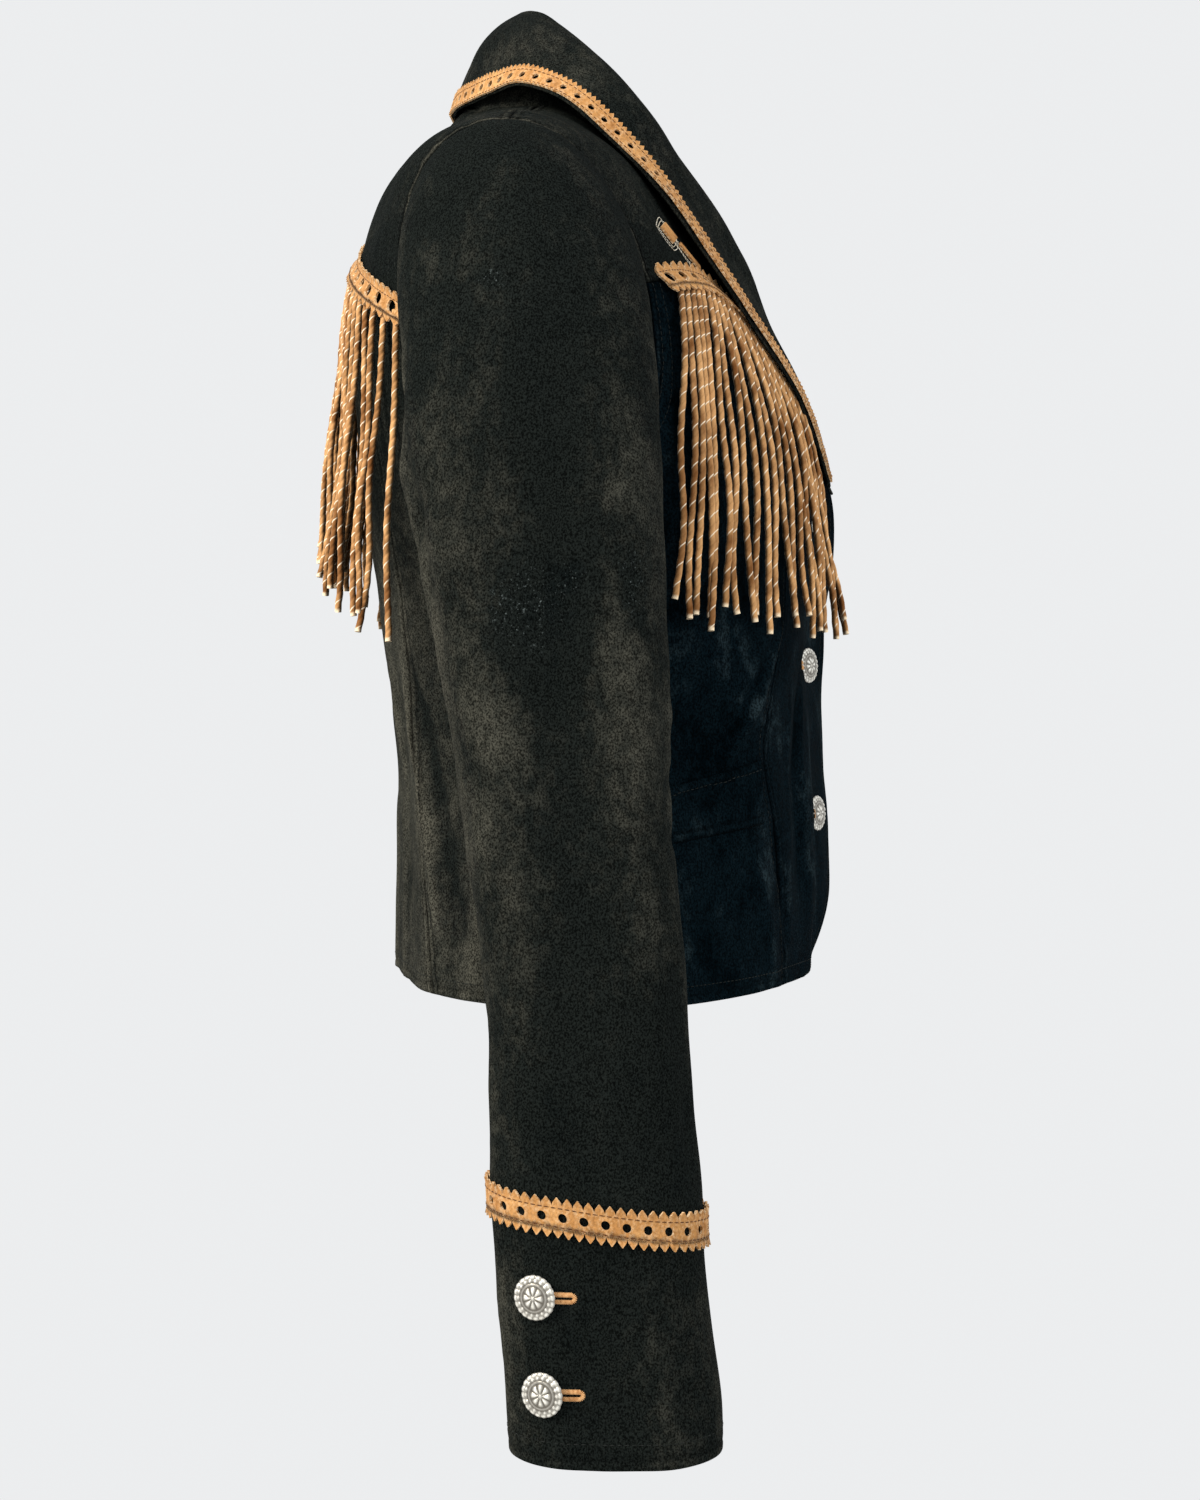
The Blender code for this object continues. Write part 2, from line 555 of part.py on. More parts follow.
# ------------------------------------------------------------------- the panels
ROWS_LOW = np.array([0.0, 0.012, 0.036, 0.066, 0.105, 0.16, 0.225, 0.29, 0.36, 0.43, 0.50])
ROWS_ARM = [(ARM_V_TOP + ARM_V_LOW) / 2 - (ARM_V_TOP - ARM_V_LOW) / 2 * math.cos(math.radians(d))
            for d in (0, 16, 34, 52, 70, 84)]
ROWS_UNDER_YOKE = np.concatenate([ROWS_LOW, ROWS_ARM])
YOKE_REACH = ROWS_UNDER_YOKE[-1]


def height_under_yoke(row_v, theta, back):
    """Stretches the rows above the underarm so that the last one is the yoke seam."""
    if row_v <= ARM_V_LOW:
        return row_v
    share = (row_v - ARM_V_LOW) / (YOKE_REACH - ARM_V_LOW)
    return ARM_V_LOW + share * (float(yoke_line(theta, back)) - ARM_V_LOW)


FRONT_COLUMNS = np.array([0.0, 0.08, 0.16, 0.24, 0.36, 0.52, 0.68, 0.84, 1.0])


def panel_grid(from_edge, to_edge, columns, back):
    """theta and v of a panel below the yoke, between two seam lines."""
    theta_rows, v_rows = [], []
    for row_v in ROWS_UNDER_YOKE:
        ends = []
        for edge in (from_edge, to_edge):
            theta = edge(row_v)
            for _ in range(6):
                theta = edge(height_under_yoke(row_v, theta, back))
            ends.append(theta)
        thetas = ends[0] + (ends[1] - ends[0]) * columns
        theta_rows.append(thetas)
        v_rows.append([height_under_yoke(row_v, theta, back) for theta in thetas])
    return np.array(theta_rows), np.array(v_rows)


def free_front_edge(v):
    """The front's free edge, with the neck edge above the break."""
    theta_line, v_line = neck_seam(np.linspace(1.0, 0.3, 120))
    if v <= v_line[0]:
        return front_edge(v)
    return float(np.interp(v, v_line, theta_line))


def lower_panels(side, materials, collection):
    tag = "left" if side > 0 else "right"
    theta, v = panel_grid(free_front_edge, princess, FRONT_COLUMNS, False)
    cloth(f"front_{tag}", body, theta, v, side, materials["black"], collection,
          out=front_lift(theta, v, side))
    theta, v = panel_grid(princess, lambda h: side_edge(h, False), np.linspace(0, 1, 6), False)
    cloth(f"side_front_{tag}", body, theta, v, side, materials["black"], collection)
    theta, v = panel_grid(lambda h: side_edge(h, True), lambda h: princess(h, True),
                          np.linspace(0, 1, 6), True)
    cloth(f"side_back_{tag}", body, theta, v, side, materials["black"], collection)


def joined_halves(theta, v):
    """A grid of the left half made whole: columns of the right half have theta
    counted on past the centre back."""
    return (np.hstack([theta, 2 * math.pi - theta[:, -2::-1]]),
            np.hstack([v, v[:, -2::-1]]))


def back_panel(materials, collection):
    theta, v = panel_grid(lambda h: princess(h, True), lambda h: math.pi, np.linspace(0, 1, 5),
                          True)
    theta, v = joined_halves(theta, v)
    cloth("back", body, theta, v, 1, materials["black"], collection)


def coons(bottom, top, left, right):
    """Patch between four border lines of (theta, v), as theta and v grids."""
    rows, columns = len(left), len(bottom)
    s = np.linspace(0, 1, columns)[None, :, None]
    r = np.linspace(0, 1, rows)[:, None, None]
    patch = (
        bottom[None] * (1 - r) + top[None] * r + left[:, None] * (1 - s) + right[:, None] * s
        - (bottom[0] * (1 - s) * (1 - r) + bottom[-1] * s * (1 - r)
           + top[0] * (1 - s) * r + top[-1] * s * r)
    )
    return patch[..., 0], patch[..., 1]


def arm_from_yoke(count, back):
    """The armhole line from the yoke seam up to the shoulder point."""
    angles = np.linspace(math.radians(2.0), math.radians(120.0), 400)
    theta, v = armhole(-angles if back else angles)
    above = v - yoke_line(theta, back)
    start = angles[int(np.argmin(np.abs(above)))]
    angles = np.linspace(start, 0.0, count)
    theta, v = armhole(-angles if back else angles)
    return np.stack([theta, v], axis=-1)


COLLAR_STATIONS = np.linspace(0.0, 1.0, 21)


def yoke_panels(side, materials, collection):
    tag = "left" if side > 0 else "right"
    columns = 7
    t_line = np.linspace(1.0, 0.3, 400)
    theta_line, v_line = neck_seam(t_line)
    crossing = int(np.argmin(np.abs(v_line - yoke_line(theta_line))))
    stations = COLLAR_STATIONS[(COLLAR_STATIONS >= 0.3) & (COLLAR_STATIONS < t_line[crossing] - 0.02)]
    t = np.concatenate([[t_line[crossing]], stations[::-1]])
    left = np.stack(neck_seam(t), axis=-1)
    rows = len(left)
    right = arm_from_yoke(rows, False)
    bottom_theta = np.linspace(left[0, 0], right[0, 0], columns)
    bottom = np.stack([bottom_theta, yoke_line(bottom_theta)], axis=-1)
    bottom[0], bottom[-1] = left[0], right[0]
    top = np.stack([np.full(columns, math.pi / 2), np.linspace(1.0, ARM_V_TOP, columns)], axis=-1)
    theta, v = coons(bottom, top, left, right)
    cloth(f"front_yoke_{tag}", body, theta, v, side, materials["black"], collection,
          out=front_lift(theta, v, side), inset=0.0006)


def back_yoke(materials, collection):
    rows, shoulder_columns = 7, 4
    nape = np.stack(neck_seam(COLLAR_STATIONS[COLLAR_STATIONS < 0.301]), axis=-1)
    columns = len(nape) + shoulder_columns - 1
    right = arm_from_yoke(rows, True)
    seam = np.stack([np.full(shoulder_columns - 1, math.pi / 2),
                     np.linspace(1.0, ARM_V_TOP, shoulder_columns)[1:]], -1)
    top = np.vstack([nape, seam])
    centre = np.stack([np.full(rows, math.pi),
                       np.linspace(float(yoke_line(math.pi, True)), 1.0, rows)], -1)
    bottom_theta = np.linspace(math.pi, right[0, 0], columns)
    bottom = np.stack([bottom_theta, yoke_line(bottom_theta, True)], axis=-1)
    bottom[-1] = right[0]
    theta, v = coons(bottom, top, centre, right)
    theta, v = joined_halves(theta[:, ::-1], v[:, ::-1])
    cloth("back_yoke", body, theta, v, 1, materials["black"], collection, inset=0.0005)


OVER_PHI = np.linspace(SLEEVE_SEAMS[1] - 2 * math.pi, SLEEVE_SEAMS[0], 15)
UNDER_PHI = np.radians([122.2, 142.3, 162.4, 180.0, 196.5, 215.1, 233.8, 252.6])


def sleeve_panels(side, materials, collection):
    tag = "left" if side > 0 else "right"
    t = np.concatenate([[0.0, 0.03, 0.07, 0.12], np.linspace(0.18, 1.0, 12)])
    for name, phi in (("over_sleeve", OVER_PHI), ("under_sleeve", UNDER_PHI)):
        tt, pp = np.meshgrid(t, phi, indexing="ij")
        cloth(f"{name}_{tag}", sleeve, pp, tt, side, materials["black"], collection,
              inset=0.0005)


def collar_piece(materials, collection):
    t = COLLAR_STATIONS
    w = np.array([0.0, 0.12, 0.21, 0.26, 0.31, 0.38, 0.52, 0.68, 0.84, 1.0])
    tt, ww = np.meshgrid(t, w, indexing="ij")
    faces_of = {}
    for side in (-1, 1):
        sheets = [lifted(collar(side), tt, np.clip(ww, 2e-4, 1 - 2e-4), out)
                  for out in (0.0, -SUEDE)]
        place = neck_seam(t)
        for sheet, level in zip(sheets, (-SUEDE, 0.0)):
            edge = lifted(body, *place, front_lift(*place, side) + level)
            sheet[:, 0] = edge + unit(sheet[:, 2] - edge) * NECK_GAP
            sheet[0, :, 0] = 0.0
        faces_of[side] = [mirrored(sheet, side) for sheet in sheets]
    outer, inner = (np.concatenate([faces_of[-1][k][:0:-1], faces_of[1][k]]) for k in (0, 1))
    rows, columns = outer.shape[:2]
    plate("collar", outer.reshape(-1, 3), inner.reshape(-1, 3), grid_faces(rows, columns),
          materials["black"], collection)


# ------------------------------------------------------- bands, welts and inlays
def seam_offset(theta, v, up):
    """Moves a place on the body up the body by a distance in metres."""
    step = 1e-3
    rate = np.linalg.norm(body(theta, v + step) - body(theta, v - step), axis=-1) / (2 * step)
    return v + up / rate


def yoke_band(name, theta, side, materials, collection, back=False):
    """Tan band along a yoke seam. Its lower edge rides over the fringe."""
    offsets = np.array([-BAND_HALF, -0.0022, 0.0018, BAND_HALF])
    levels = np.array([0.0038, 0.0030, 0.0010, 0.0005]) + TAN_SUEDE
    tt, up = np.meshgrid(theta, offsets, indexing="ij")
    near = np.where(tt > math.pi, 2 * math.pi - tt, tt) if back else tt
    v = seam_offset(tt, yoke_line(near, back), up)
    level = levels[None, :] + front_lift(tt, v, side) * (not back)
    outer = mirrored(lifted(body, tt, v, level), side)
    inner = mirrored(lifted(body, tt, v, level - TAN_SUEDE), side)
    plate(name, outer.reshape(-1, 3), inner.reshape(-1, 3), grid_faces(*tt.shape),
          materials["tan"], collection)


def yoke_bands(materials, collection):
    end = YOKE_FRONT_ARM - 0.080
    under_lapel = math.radians(31.5)
    for side in (-1, 1):
        tag = "left" if side > 0 else "right"
        yoke_band(f"front_band_{tag}", np.linspace(under_lapel, end, 16), side,
                  materials, collection)
    start = YOKE_BACK_ARM + 0.03
    theta = np.linspace(start, 2 * math.pi - start, 39)
    yoke_band("back_band", theta, 1, materials, collection, back=True)


def collar_band(side, materials, collection):
    """Tan band along the collar's outer edge, for one half or, at the back, across."""
    tag = "left" if side > 0 else "right"
    surface = collar(side)
    t = np.linspace(0.0008, 0.992, 25)
    w_fine = np.linspace(0.34, 1.0, 34)
    path = surface(t[:, None], w_fine[None, :])
    from_edge = np.cumsum(np.linalg.norm(np.diff(path[:, ::-1], axis=1), axis=2), axis=1)
    from_edge = np.hstack([np.zeros((len(t), 1)), from_edge])
    grid = []
    for k in range(len(t)):
        width = min(COLLAR_BAND_WIDTH, 0.6 * from_edge[k, -1])
        marks = np.array([0.0004, 0.0004 + width / 2, 0.0004 + width])
        grid.append(np.interp(marks, from_edge[k], w_fine[::-1]))
    ww = np.array(grid)[:, ::-1]
    tt = np.repeat(t[:, None], 3, axis=1)
    outer = mirrored(lifted(surface, tt, ww, COLLAR_GAP + TAN_SUEDE), side)
    inner = mirrored(lifted(surface, tt, ww, COLLAR_GAP), side)
    plate(f"collar_band_{tag}", outer.reshape(-1, 3), inner.reshape(-1, 3),
          grid_faces(*tt.shape), materials["tan"], collection)


def sleeve_height(z):
    """t at which the middle of the sleeve is at height z."""
    middle = (SLEEVE_TABLE[:, 1] + SLEEVE_TABLE[:, 3]) / 2
    return np.interp(-z, -middle, SLEEVE_T)


def cuff_band(side, materials, collection):
    tag = "left" if side > 0 else "right"
    phi = np.concatenate([OVER_PHI, UNDER_PHI[1:-1]])
    offsets = np.array([-BAND_HALF, 0.0, BAND_HALF])
    pp, up = np.meshgrid(phi, offsets, indexing="ij")
    drop = (SLEEVE_BAND_Z["front"] - SLEEVE_BAND_Z["back"]) / 2
    z = (SLEEVE_BAND_Z["front"] + SLEEVE_BAND_Z["back"]) / 2 + drop * np.sin(pp) + up
    t = sleeve_height(z)
    outer = mirrored(lifted(sleeve, pp, t, FRINGE_GAP + TAN_SUEDE), side)
    inner = mirrored(lifted(sleeve, pp, t, FRINGE_GAP), side)
    rows, columns = pp.shape
    faces = [
        [r * columns + c, r * columns + c + 1, (r + 1) % rows * columns + c + 1,
         (r + 1) % rows * columns + c]
        for r in range(rows)
        for c in range(columns - 1)
    ]
    plate(f"cuff_band_{tag}", outer.reshape(-1, 3), inner.reshape(-1, 3), faces,
          materials["tan"], collection)


def pocket_welt(side, materials, collection):
    tag = "left" if side > 0 else "right"
    along, up = np.meshgrid(np.linspace(0, 1, 8), np.linspace(0, 1, 4), indexing="ij")
    theta = np.radians(POCKET["theta_front"]
                       + (POCKET["theta_back"] - POCKET["theta_front"]) * along)
    low = POCKET["low_front"] + (POCKET["low_back"] - POCKET["low_front"]) * along
    top = POCKET["top_front"] + (POCKET["top_back"] - POCKET["top_front"]) * along
    v = low + (top - low) * up
    outer = mirrored(lifted(body, theta, v, FRINGE_GAP + SUEDE), side)
    inner = mirrored(lifted(body, theta, v, FRINGE_GAP), side)
    plate(f"pocket_welt_{tag}", outer.reshape(-1, 3), inner.reshape(-1, 3),
          grid_faces(*theta.shape), materials["black"], collection)


def inlay(side, materials, collection):
    tag = "left" if side > 0 else "right"
    theta0, v0 = (float(a) for a in body_at(INLAY_AT["x"], INLAY_AT["z"]))
    step = 1e-3
    theta_rate = np.linalg.norm(body(theta0 + step, v0) - body(theta0, v0)) / step
    v_rate = np.linalg.norm(body(theta0, v0 + step) - body(theta0, v0)) / step
    for name, outline in (("lozenge", LOZENGE), ("bar", BAR)):
        a, b = np.array(outline).T
        theta, v = theta0 - a / theta_rate, v0 + b / v_rate
        outer = mirrored(lifted(body, theta, v, LAY_GAP + TAN_SUEDE), side)
        inner = mirrored(lifted(body, theta, v, LAY_GAP), side)
        plate(f"inlay_{name}_{tag}", outer, inner, [list(range(len(outline)))],
              materials["tan"], collection)


# ------------------------------------------------------------------------ fringe
def hanging_path(start, low_z, back, slope, drift, side):
    """Centres of a cord that hangs down from start. Where the body comes further out
    the cord lies against it, and hangs free again below that. In front it slides
    sideways on the body, the more so the nearer it is to the arm."""
    z = start[2] + (low_z - start[2]) * np.array([0.0, 0.15, 0.36, 0.65, 1.0])
    z[0] = start[2] - 0.004
    place = np.array(start[:2], float)
    aside = 0.0 if back else 0.88 * float(ease((start[0] - 0.050) / 0.070))
    path = []
    for k in range(len(z)):
        fall = z[k - 1] - z[k] if k else 0.0
        place = place + fall * np.array([drift, slope if back else -slope])
        theta, v, points, outward = outline_at(z[k])
        for _ in range(3):
            near = np.argmin(np.linalg.norm(points - place, axis=1))
            level = FRINGE_GAP + CORD_SIDE * 0.72
            if k:
                level += CORD_CLEAR * (1 + float(ease((np.degrees(theta[near]) - 48.0) / 15.0))
                                       * (not back))
            if not back:
                level += float(front_lift(theta[near], v[near], side))
            way = unit(outward[near] * (1 - aside) + np.array([aside, 0.0]))
            inside = level - (place - points[near]) @ outward[near]
            place = place + max(0.0, inside) * way / (way @ outward[near])
        path.append([place[0], place[1], z[k]])
    return np.array(path)


def fringe(name, theta, ends, slopes, drifts, side, materials, collection, back=False):
    """A strip under a yoke band, with a cord drawn down from each place along it."""
    half = CORD_SIDE / 2
    step = 1e-3
    near = np.where(theta > math.pi, 2 * math.pi - theta, theta)
    seam_v = yoke_line(near, back)
    rate = np.linalg.norm(body(theta + step, seam_v) - body(theta - step, seam_v), axis=-1)
    width = half / (rate / (2 * step))
    columns = np.sort(np.concatenate([theta - width, theta + width]))
    near = np.where(columns > math.pi, 2 * math.pi - columns, columns)
    line = yoke_line(near, back)
    sheets = []
    for level in (FRINGE_GAP + TAN_SUEDE, FRINGE_GAP):
        rows = []
        for up in (STRIP_LOW, STRIP_TOP):
            v = seam_offset(columns, line, up)
            rows.append(lifted(body, columns, v, level + front_lift(columns, v, side) * (not back)))
        sheets.append(rows)
    (outer_low, outer_top), (inner_low, inner_top) = sheets
    bm = bmesh.new()
    add = lambda p: bm.verts.new(p * np.array([side, 1.0, 1.0]))
    ol, ot, il, it = ([add(p) for p in row] for row in (outer_low, outer_top, inner_low, inner_top))
    last = len(columns) - 1
    for k in range(last):
        bm.faces.new([ol[k], ol[k + 1], ot[k + 1], ot[k]])
        bm.faces.new([il[k + 1], il[k], it[k], it[k + 1]])
        bm.faces.new([ot[k], ot[k + 1], it[k + 1], it[k]])
    bm.faces.new([ol[0], ot[0], it[0], il[0]])
    bm.faces.new([ot[last], ol[last], il[last], it[last]])
    for k in range(0, last + 1, 2):
        if k + 2 <= last:
            bm.faces.new([ol[k + 2], ol[k + 1], il[k + 1], il[k + 2]])
        root = (outer_low[k] + outer_low[k + 1] + inner_low[k] + inner_low[k + 1]) / 4
        mirror_back = theta[k // 2] > math.pi
        start = root * np.array([-1.0 if mirror_back else 1.0, 1.0, 1.0])
        path = hanging_path(start, ends[k // 2], back, slopes[k // 2], drifts[k // 2], side)
        path = path * np.array([-1.0 if mirror_back else 1.0, 1.0, 1.0])
        across = unit(outer_low[k + 1] - outer_low[k])
        ring = [ol[k], ol[k + 1], il[k + 1], il[k]]
        for centre in path:
            outward = unit(np.cross(across, np.array([0.0, 0.0, 1.0])))
            if np.dot(outward, outer_low[k] - inner_low[k]) < 0:
                outward = -outward
            corners = [centre - across * half + outward * half,
                       centre + across * half + outward * half,
                       centre + across * half - outward * half,
                       centre - across * half - outward * half]
            new = [add(c) for c in corners]
            for i in range(4):
                j = (i + 1) % 4
                bm.faces.new([ring[i], ring[j], new[j], new[i]])
            ring = new
        bm.faces.new(ring)
    bmesh.ops.recalc_face_normals(bm, faces=bm.faces)
    mesh = bpy.data.meshes.new(name)
    bm.to_mesh(mesh)
    bm.free()
    new_object(name, mesh, materials["tan"], collection)


def fringes(materials, collection):
    end = YOKE_FRONT_ARM - 0.165
    k = np.arange(FRONT_CORDS)
    for side in (-1, 1):
        tag = "left" if side > 0 else "right"
        theta = np.linspace(FRINGE_START[side], end, FRONT_CORDS)
        ends = FRONT_FRINGE_END + 0.006 * np.sin(k * 2.4 + side) + 0.003 * np.cos(k * 5.1)
        slopes = 0.17 * (1 - k / k[-1]) ** 1.8 - 0.03 * (k / k[-1]) ** 6 + 0.008 * np.sin(k * 1.7 + side)
        drifts = 0.007 * np.sin(k * 0.9 + 1.3 * side)
        fringe(f"front_fringe_{tag}", theta, ends, slopes, drifts, side, materials, collection)
    start = YOKE_BACK_ARM + 0.05
    theta = np.linspace(start, 2 * math.pi - start, BACK_CORDS)
    k = np.arange(BACK_CORDS)
    near = np.where(theta > math.pi, 2 * math.pi - theta, theta)
    root_z = body(near, yoke_line(near, True))[:, 2]
    ends = root_z - BACK_FRINGE_LENGTH - 0.012 + 0.005 * np.sin(k * 2.1) + 0.003 * np.cos(k * 4.7)
    centred = 1 - ((theta - math.pi) / (math.pi - start)) ** 2
    slopes = 0.04 + 0.06 * centred + 0.025 * np.sin(k * 1.9)
    drifts = 0.02 * np.sin(k * 0.8)
    fringe("back_fringe", theta, ends, slopes, drifts, 1, materials, collection, back=True)


# ----------------------------------------------------------------------- buttons
# A button's half profile as radius and height over the cloth, from its shank up.
BUTTON_PROFILE = ((0.0025, 0.0016), (0.0094, 0.0018), (0.0098, 0.0026),
                  (0.0072, 0.0038), (0.0035, 0.0042))
BUTTON_SIDES = 12


def button(name, seat, normal, foot, side, materials, collection):
    bm = bmesh.new()
    spin = Vector((0, 0, 1)).rotation_difference(Vector(normal)).to_matrix()
    rings = []
    for radius, height in ((BUTTON_PROFILE[0][0], foot), *BUTTON_PROFILE):
        ring = []
        for k in range(BUTTON_SIDES):
            angle = 2 * math.pi * k / BUTTON_SIDES
            local = Vector((radius * math.cos(angle), radius * math.sin(angle), height))
            place = Vector(seat) + spin @ local
            ring.append(bm.verts.new((place.x * side, place.y, place.z)))
        rings.append(ring)
    for low, high in zip(rings, rings[1:]):
        for k in range(BUTTON_SIDES):
            j = (k + 1) % BUTTON_SIDES
            bm.faces.new([low[k], low[j], high[j], high[k]])
    bm.faces.new(rings[0])
    bm.faces.new(rings[-1])
    bmesh.ops.recalc_face_normals(bm, faces=bm.faces)
    mesh = bpy.data.meshes.new(name)
    bm.to_mesh(mesh)
    bm.free()
    new_object(name, mesh, materials["silver"], collection)


def sleeve_at(y, z):
    """phi and t of the place on the sleeve's outer side at (y, z)."""
    t, phi = float(sleeve_height(z)), 0.0
    for _ in range(40):
        here = sleeve(phi, t)
        phi += float(np.clip((here[1] - y) * 20.0, -0.2, 0.2))
        t = min(1.0, t + float(here[2] - z))
    return phi, t


def buttons(materials, collection):
    for name, (z, foot) in FRONT_BUTTONS.items():
        theta, v = (float(a) for a in body_at(-BUTTON_X, z))
        seat = front(-1)(theta, v)
        normal = unit(lifted(front(-1), theta, v, 1e-3) - seat)
        button(f"front_button_{name}", seat, normal, foot, -1, materials, collection)
    for side in (-1, 1):
        tag = "left" if side > 0 else "right"
        for name, (y, z, foot) in CUFF_BUTTONS.items():
            phi, t = sleeve_at(y, z)
            seat = sleeve(phi, t)
            normal = unit(lifted(sleeve, phi, t, 1e-3) - seat)
            button(f"cuff_button_{name}_{tag}", seat, normal, foot, side, materials,
                   collection)


# ------------------------------------------------------------------------ build
def material(name, colour, roughness, metallic=0.0):
    made = bpy.data.materials.new(name)
    made.use_nodes = True
    shader = made.node_tree.nodes["Principled BSDF"]
    shader.inputs["Base Color"].default_value = (*colour, 1.0)
    shader.inputs["Roughness"].default_value = roughness
    shader.inputs["Metallic"].default_value = metallic
    return made


def main():
    for thing in list(bpy.data.objects):
        bpy.data.objects.remove(thing, do_unlink=True)
    collection = bpy.data.collections.new("suede_jacket")
    bpy.context.scene.collection.children.link(collection)
    materials = {
        "black": material("black_suede", BLACK, 0.95),
        "tan": material("tan_suede", TAN, 0.9),
        "silver": material("button_silver", SILVER, 0.35, 1.0),
    }
    for side in (-1, 1):
        lower_panels(side, materials, collection)
        yoke_panels(side, materials, collection)
        sleeve_panels(side, materials, collection)
        collar_band(side, materials, collection)
        cuff_band(side, materials, collection)
        pocket_welt(side, materials, collection)
        inlay(side, materials, collection)
    back_panel(materials, collection)
    back_yoke(materials, collection)
    collar_piece(materials, collection)
    yoke_bands(materials, collection)
    fringes(materials, collection)
    buttons(materials, collection)


main()
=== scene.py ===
# %% [markdown]
# # Short western jacket in black suede
#
# The jacket is worn, hollow, and shown from the wearer's right. Everything on it is
# cut from suede: black panels, tan bands with pinked edges, and twisted cords for the
# fringe. The imported model gives each panel's place. This script makes the visible
# cloth over it: thin shells with rolled seams and creases, cut teeth and holes, and
# every stitch. First the imported model is loaded.

# %% Load the imported model
import json
import math

import bmesh
import bpy
import numpy as np
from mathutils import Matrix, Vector
from mathutils.bvhtree import BVHTree

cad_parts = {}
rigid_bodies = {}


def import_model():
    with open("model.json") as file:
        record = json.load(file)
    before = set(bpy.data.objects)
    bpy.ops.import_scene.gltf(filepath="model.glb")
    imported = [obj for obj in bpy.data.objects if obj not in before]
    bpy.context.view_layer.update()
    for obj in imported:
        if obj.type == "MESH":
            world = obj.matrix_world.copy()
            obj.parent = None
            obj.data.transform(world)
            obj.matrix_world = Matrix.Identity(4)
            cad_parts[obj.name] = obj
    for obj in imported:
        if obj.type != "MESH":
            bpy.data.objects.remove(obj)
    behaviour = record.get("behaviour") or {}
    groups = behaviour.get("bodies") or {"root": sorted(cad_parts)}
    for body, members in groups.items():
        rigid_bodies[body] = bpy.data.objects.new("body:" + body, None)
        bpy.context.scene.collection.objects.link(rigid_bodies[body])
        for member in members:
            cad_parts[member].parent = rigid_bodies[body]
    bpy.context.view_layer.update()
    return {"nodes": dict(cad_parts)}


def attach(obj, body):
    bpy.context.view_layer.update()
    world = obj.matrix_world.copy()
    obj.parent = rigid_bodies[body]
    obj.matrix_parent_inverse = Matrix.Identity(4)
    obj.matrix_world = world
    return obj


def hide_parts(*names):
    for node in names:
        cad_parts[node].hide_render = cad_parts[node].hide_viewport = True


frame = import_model()
print("the packed model has", len(frame["nodes"]), "nodes")

# %% [markdown]
# ## Camera
#
# The camera stands level, 1.1 m to the wearer's right and a little below the chest.
# A lens of 59 mm on a 36 mm wide sensor just takes in collar and cuff.

# %% Camera
def put_in_scene(name, data):
    """An object at the origin that shows a mesh, a lamp or a camera."""
    made = bpy.data.objects.new(name, data)
    bpy.context.scene.collection.objects.link(made)
    return made


camera_data = bpy.data.cameras.new("camera")
camera_data.sensor_fit = "HORIZONTAL"
camera_data.sensor_width = 36.0
camera_data.lens = 59.31
camera = put_in_scene("camera", camera_data)
camera.location = (-1.13, -0.03, -0.345)
camera.rotation_euler = (math.radians(90.0), 0.0, math.radians(-90.0))
bpy.context.scene.camera = camera
bpy.context.scene.view_settings.view_transform = "Standard"

# %% [markdown]
# ## Sizes
#
# A garment is drafted from measurements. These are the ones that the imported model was
# made with: cloth thicknesses, cross-sections, seam lines, and places of trim and buttons.

# %% Driving sizes
def mm(*values):
    """Lengths or places that are listed in millimetres, in metres."""
    return np.array(values) / 1000


SIDES = ((-1, "right"), (1, "left"))  # x runs to the wearer's left
SUEDE = 0.0016  # thickness of the black suede panels
TAN_SUEDE = 0.0012  # thickness of the tan bands and inlays
FRINGE_GAP = 0.0008  # between the cloth and a piece that lies over its seams
COLLAR_GAP = 0.0009  # and under the band along the collar

HEM_Z = -0.468
OVERLAP = 0.018  # the fronts cross the centre line by this much
UNDERLAP_LOW = 0.0032  # the left front lies this far inside the right one
UNDERLAP_HIGH = 0.0062  # and this far by the break, where its lapel is under there too
CORNER_WIDTH = 0.088  # rounded lower corner of each front
CORNER_HEIGHT = 0.054
FLARE_FROM = 0.022  # the right front stands forward from this far before its centre line

COLLAR_BAND_WIDTH = 0.0135

BUTTON_RADIUS = 0.0098
# Each button's place, and how far its shank's foot lies from the smooth cloth.
FRONT_BUTTONS = {"top": (-0.2147, 0.0004), "middle": (-0.2976, 0.0008), "bottom": (-0.3804, 0.0012)}
BUTTON_X = -0.018
CUFF_BUTTONS = {"upper": (-0.0027, -0.5815, -0.0001), "lower": (-0.006, -0.623, 0.0003)}

CORD_SIDE = 0.0029  # side of a fringe cord's square section
FRINGE_START = {-1: math.radians(17.0), 1: math.radians(22.0)}  # by side, under the lapel
CORD_CLEAR = 0.0014  # the cords stand this much further off below their roots
FRONT_CORDS = 23  # cords on each front yoke
BACK_CORDS = 46
STRIP_TOP, STRIP_LOW = -0.0012, -0.0055  # the strip that the cords hang from, below the seam
FRONT_FRINGE_END = -0.2795
BACK_FRINGE_LENGTH = 0.152

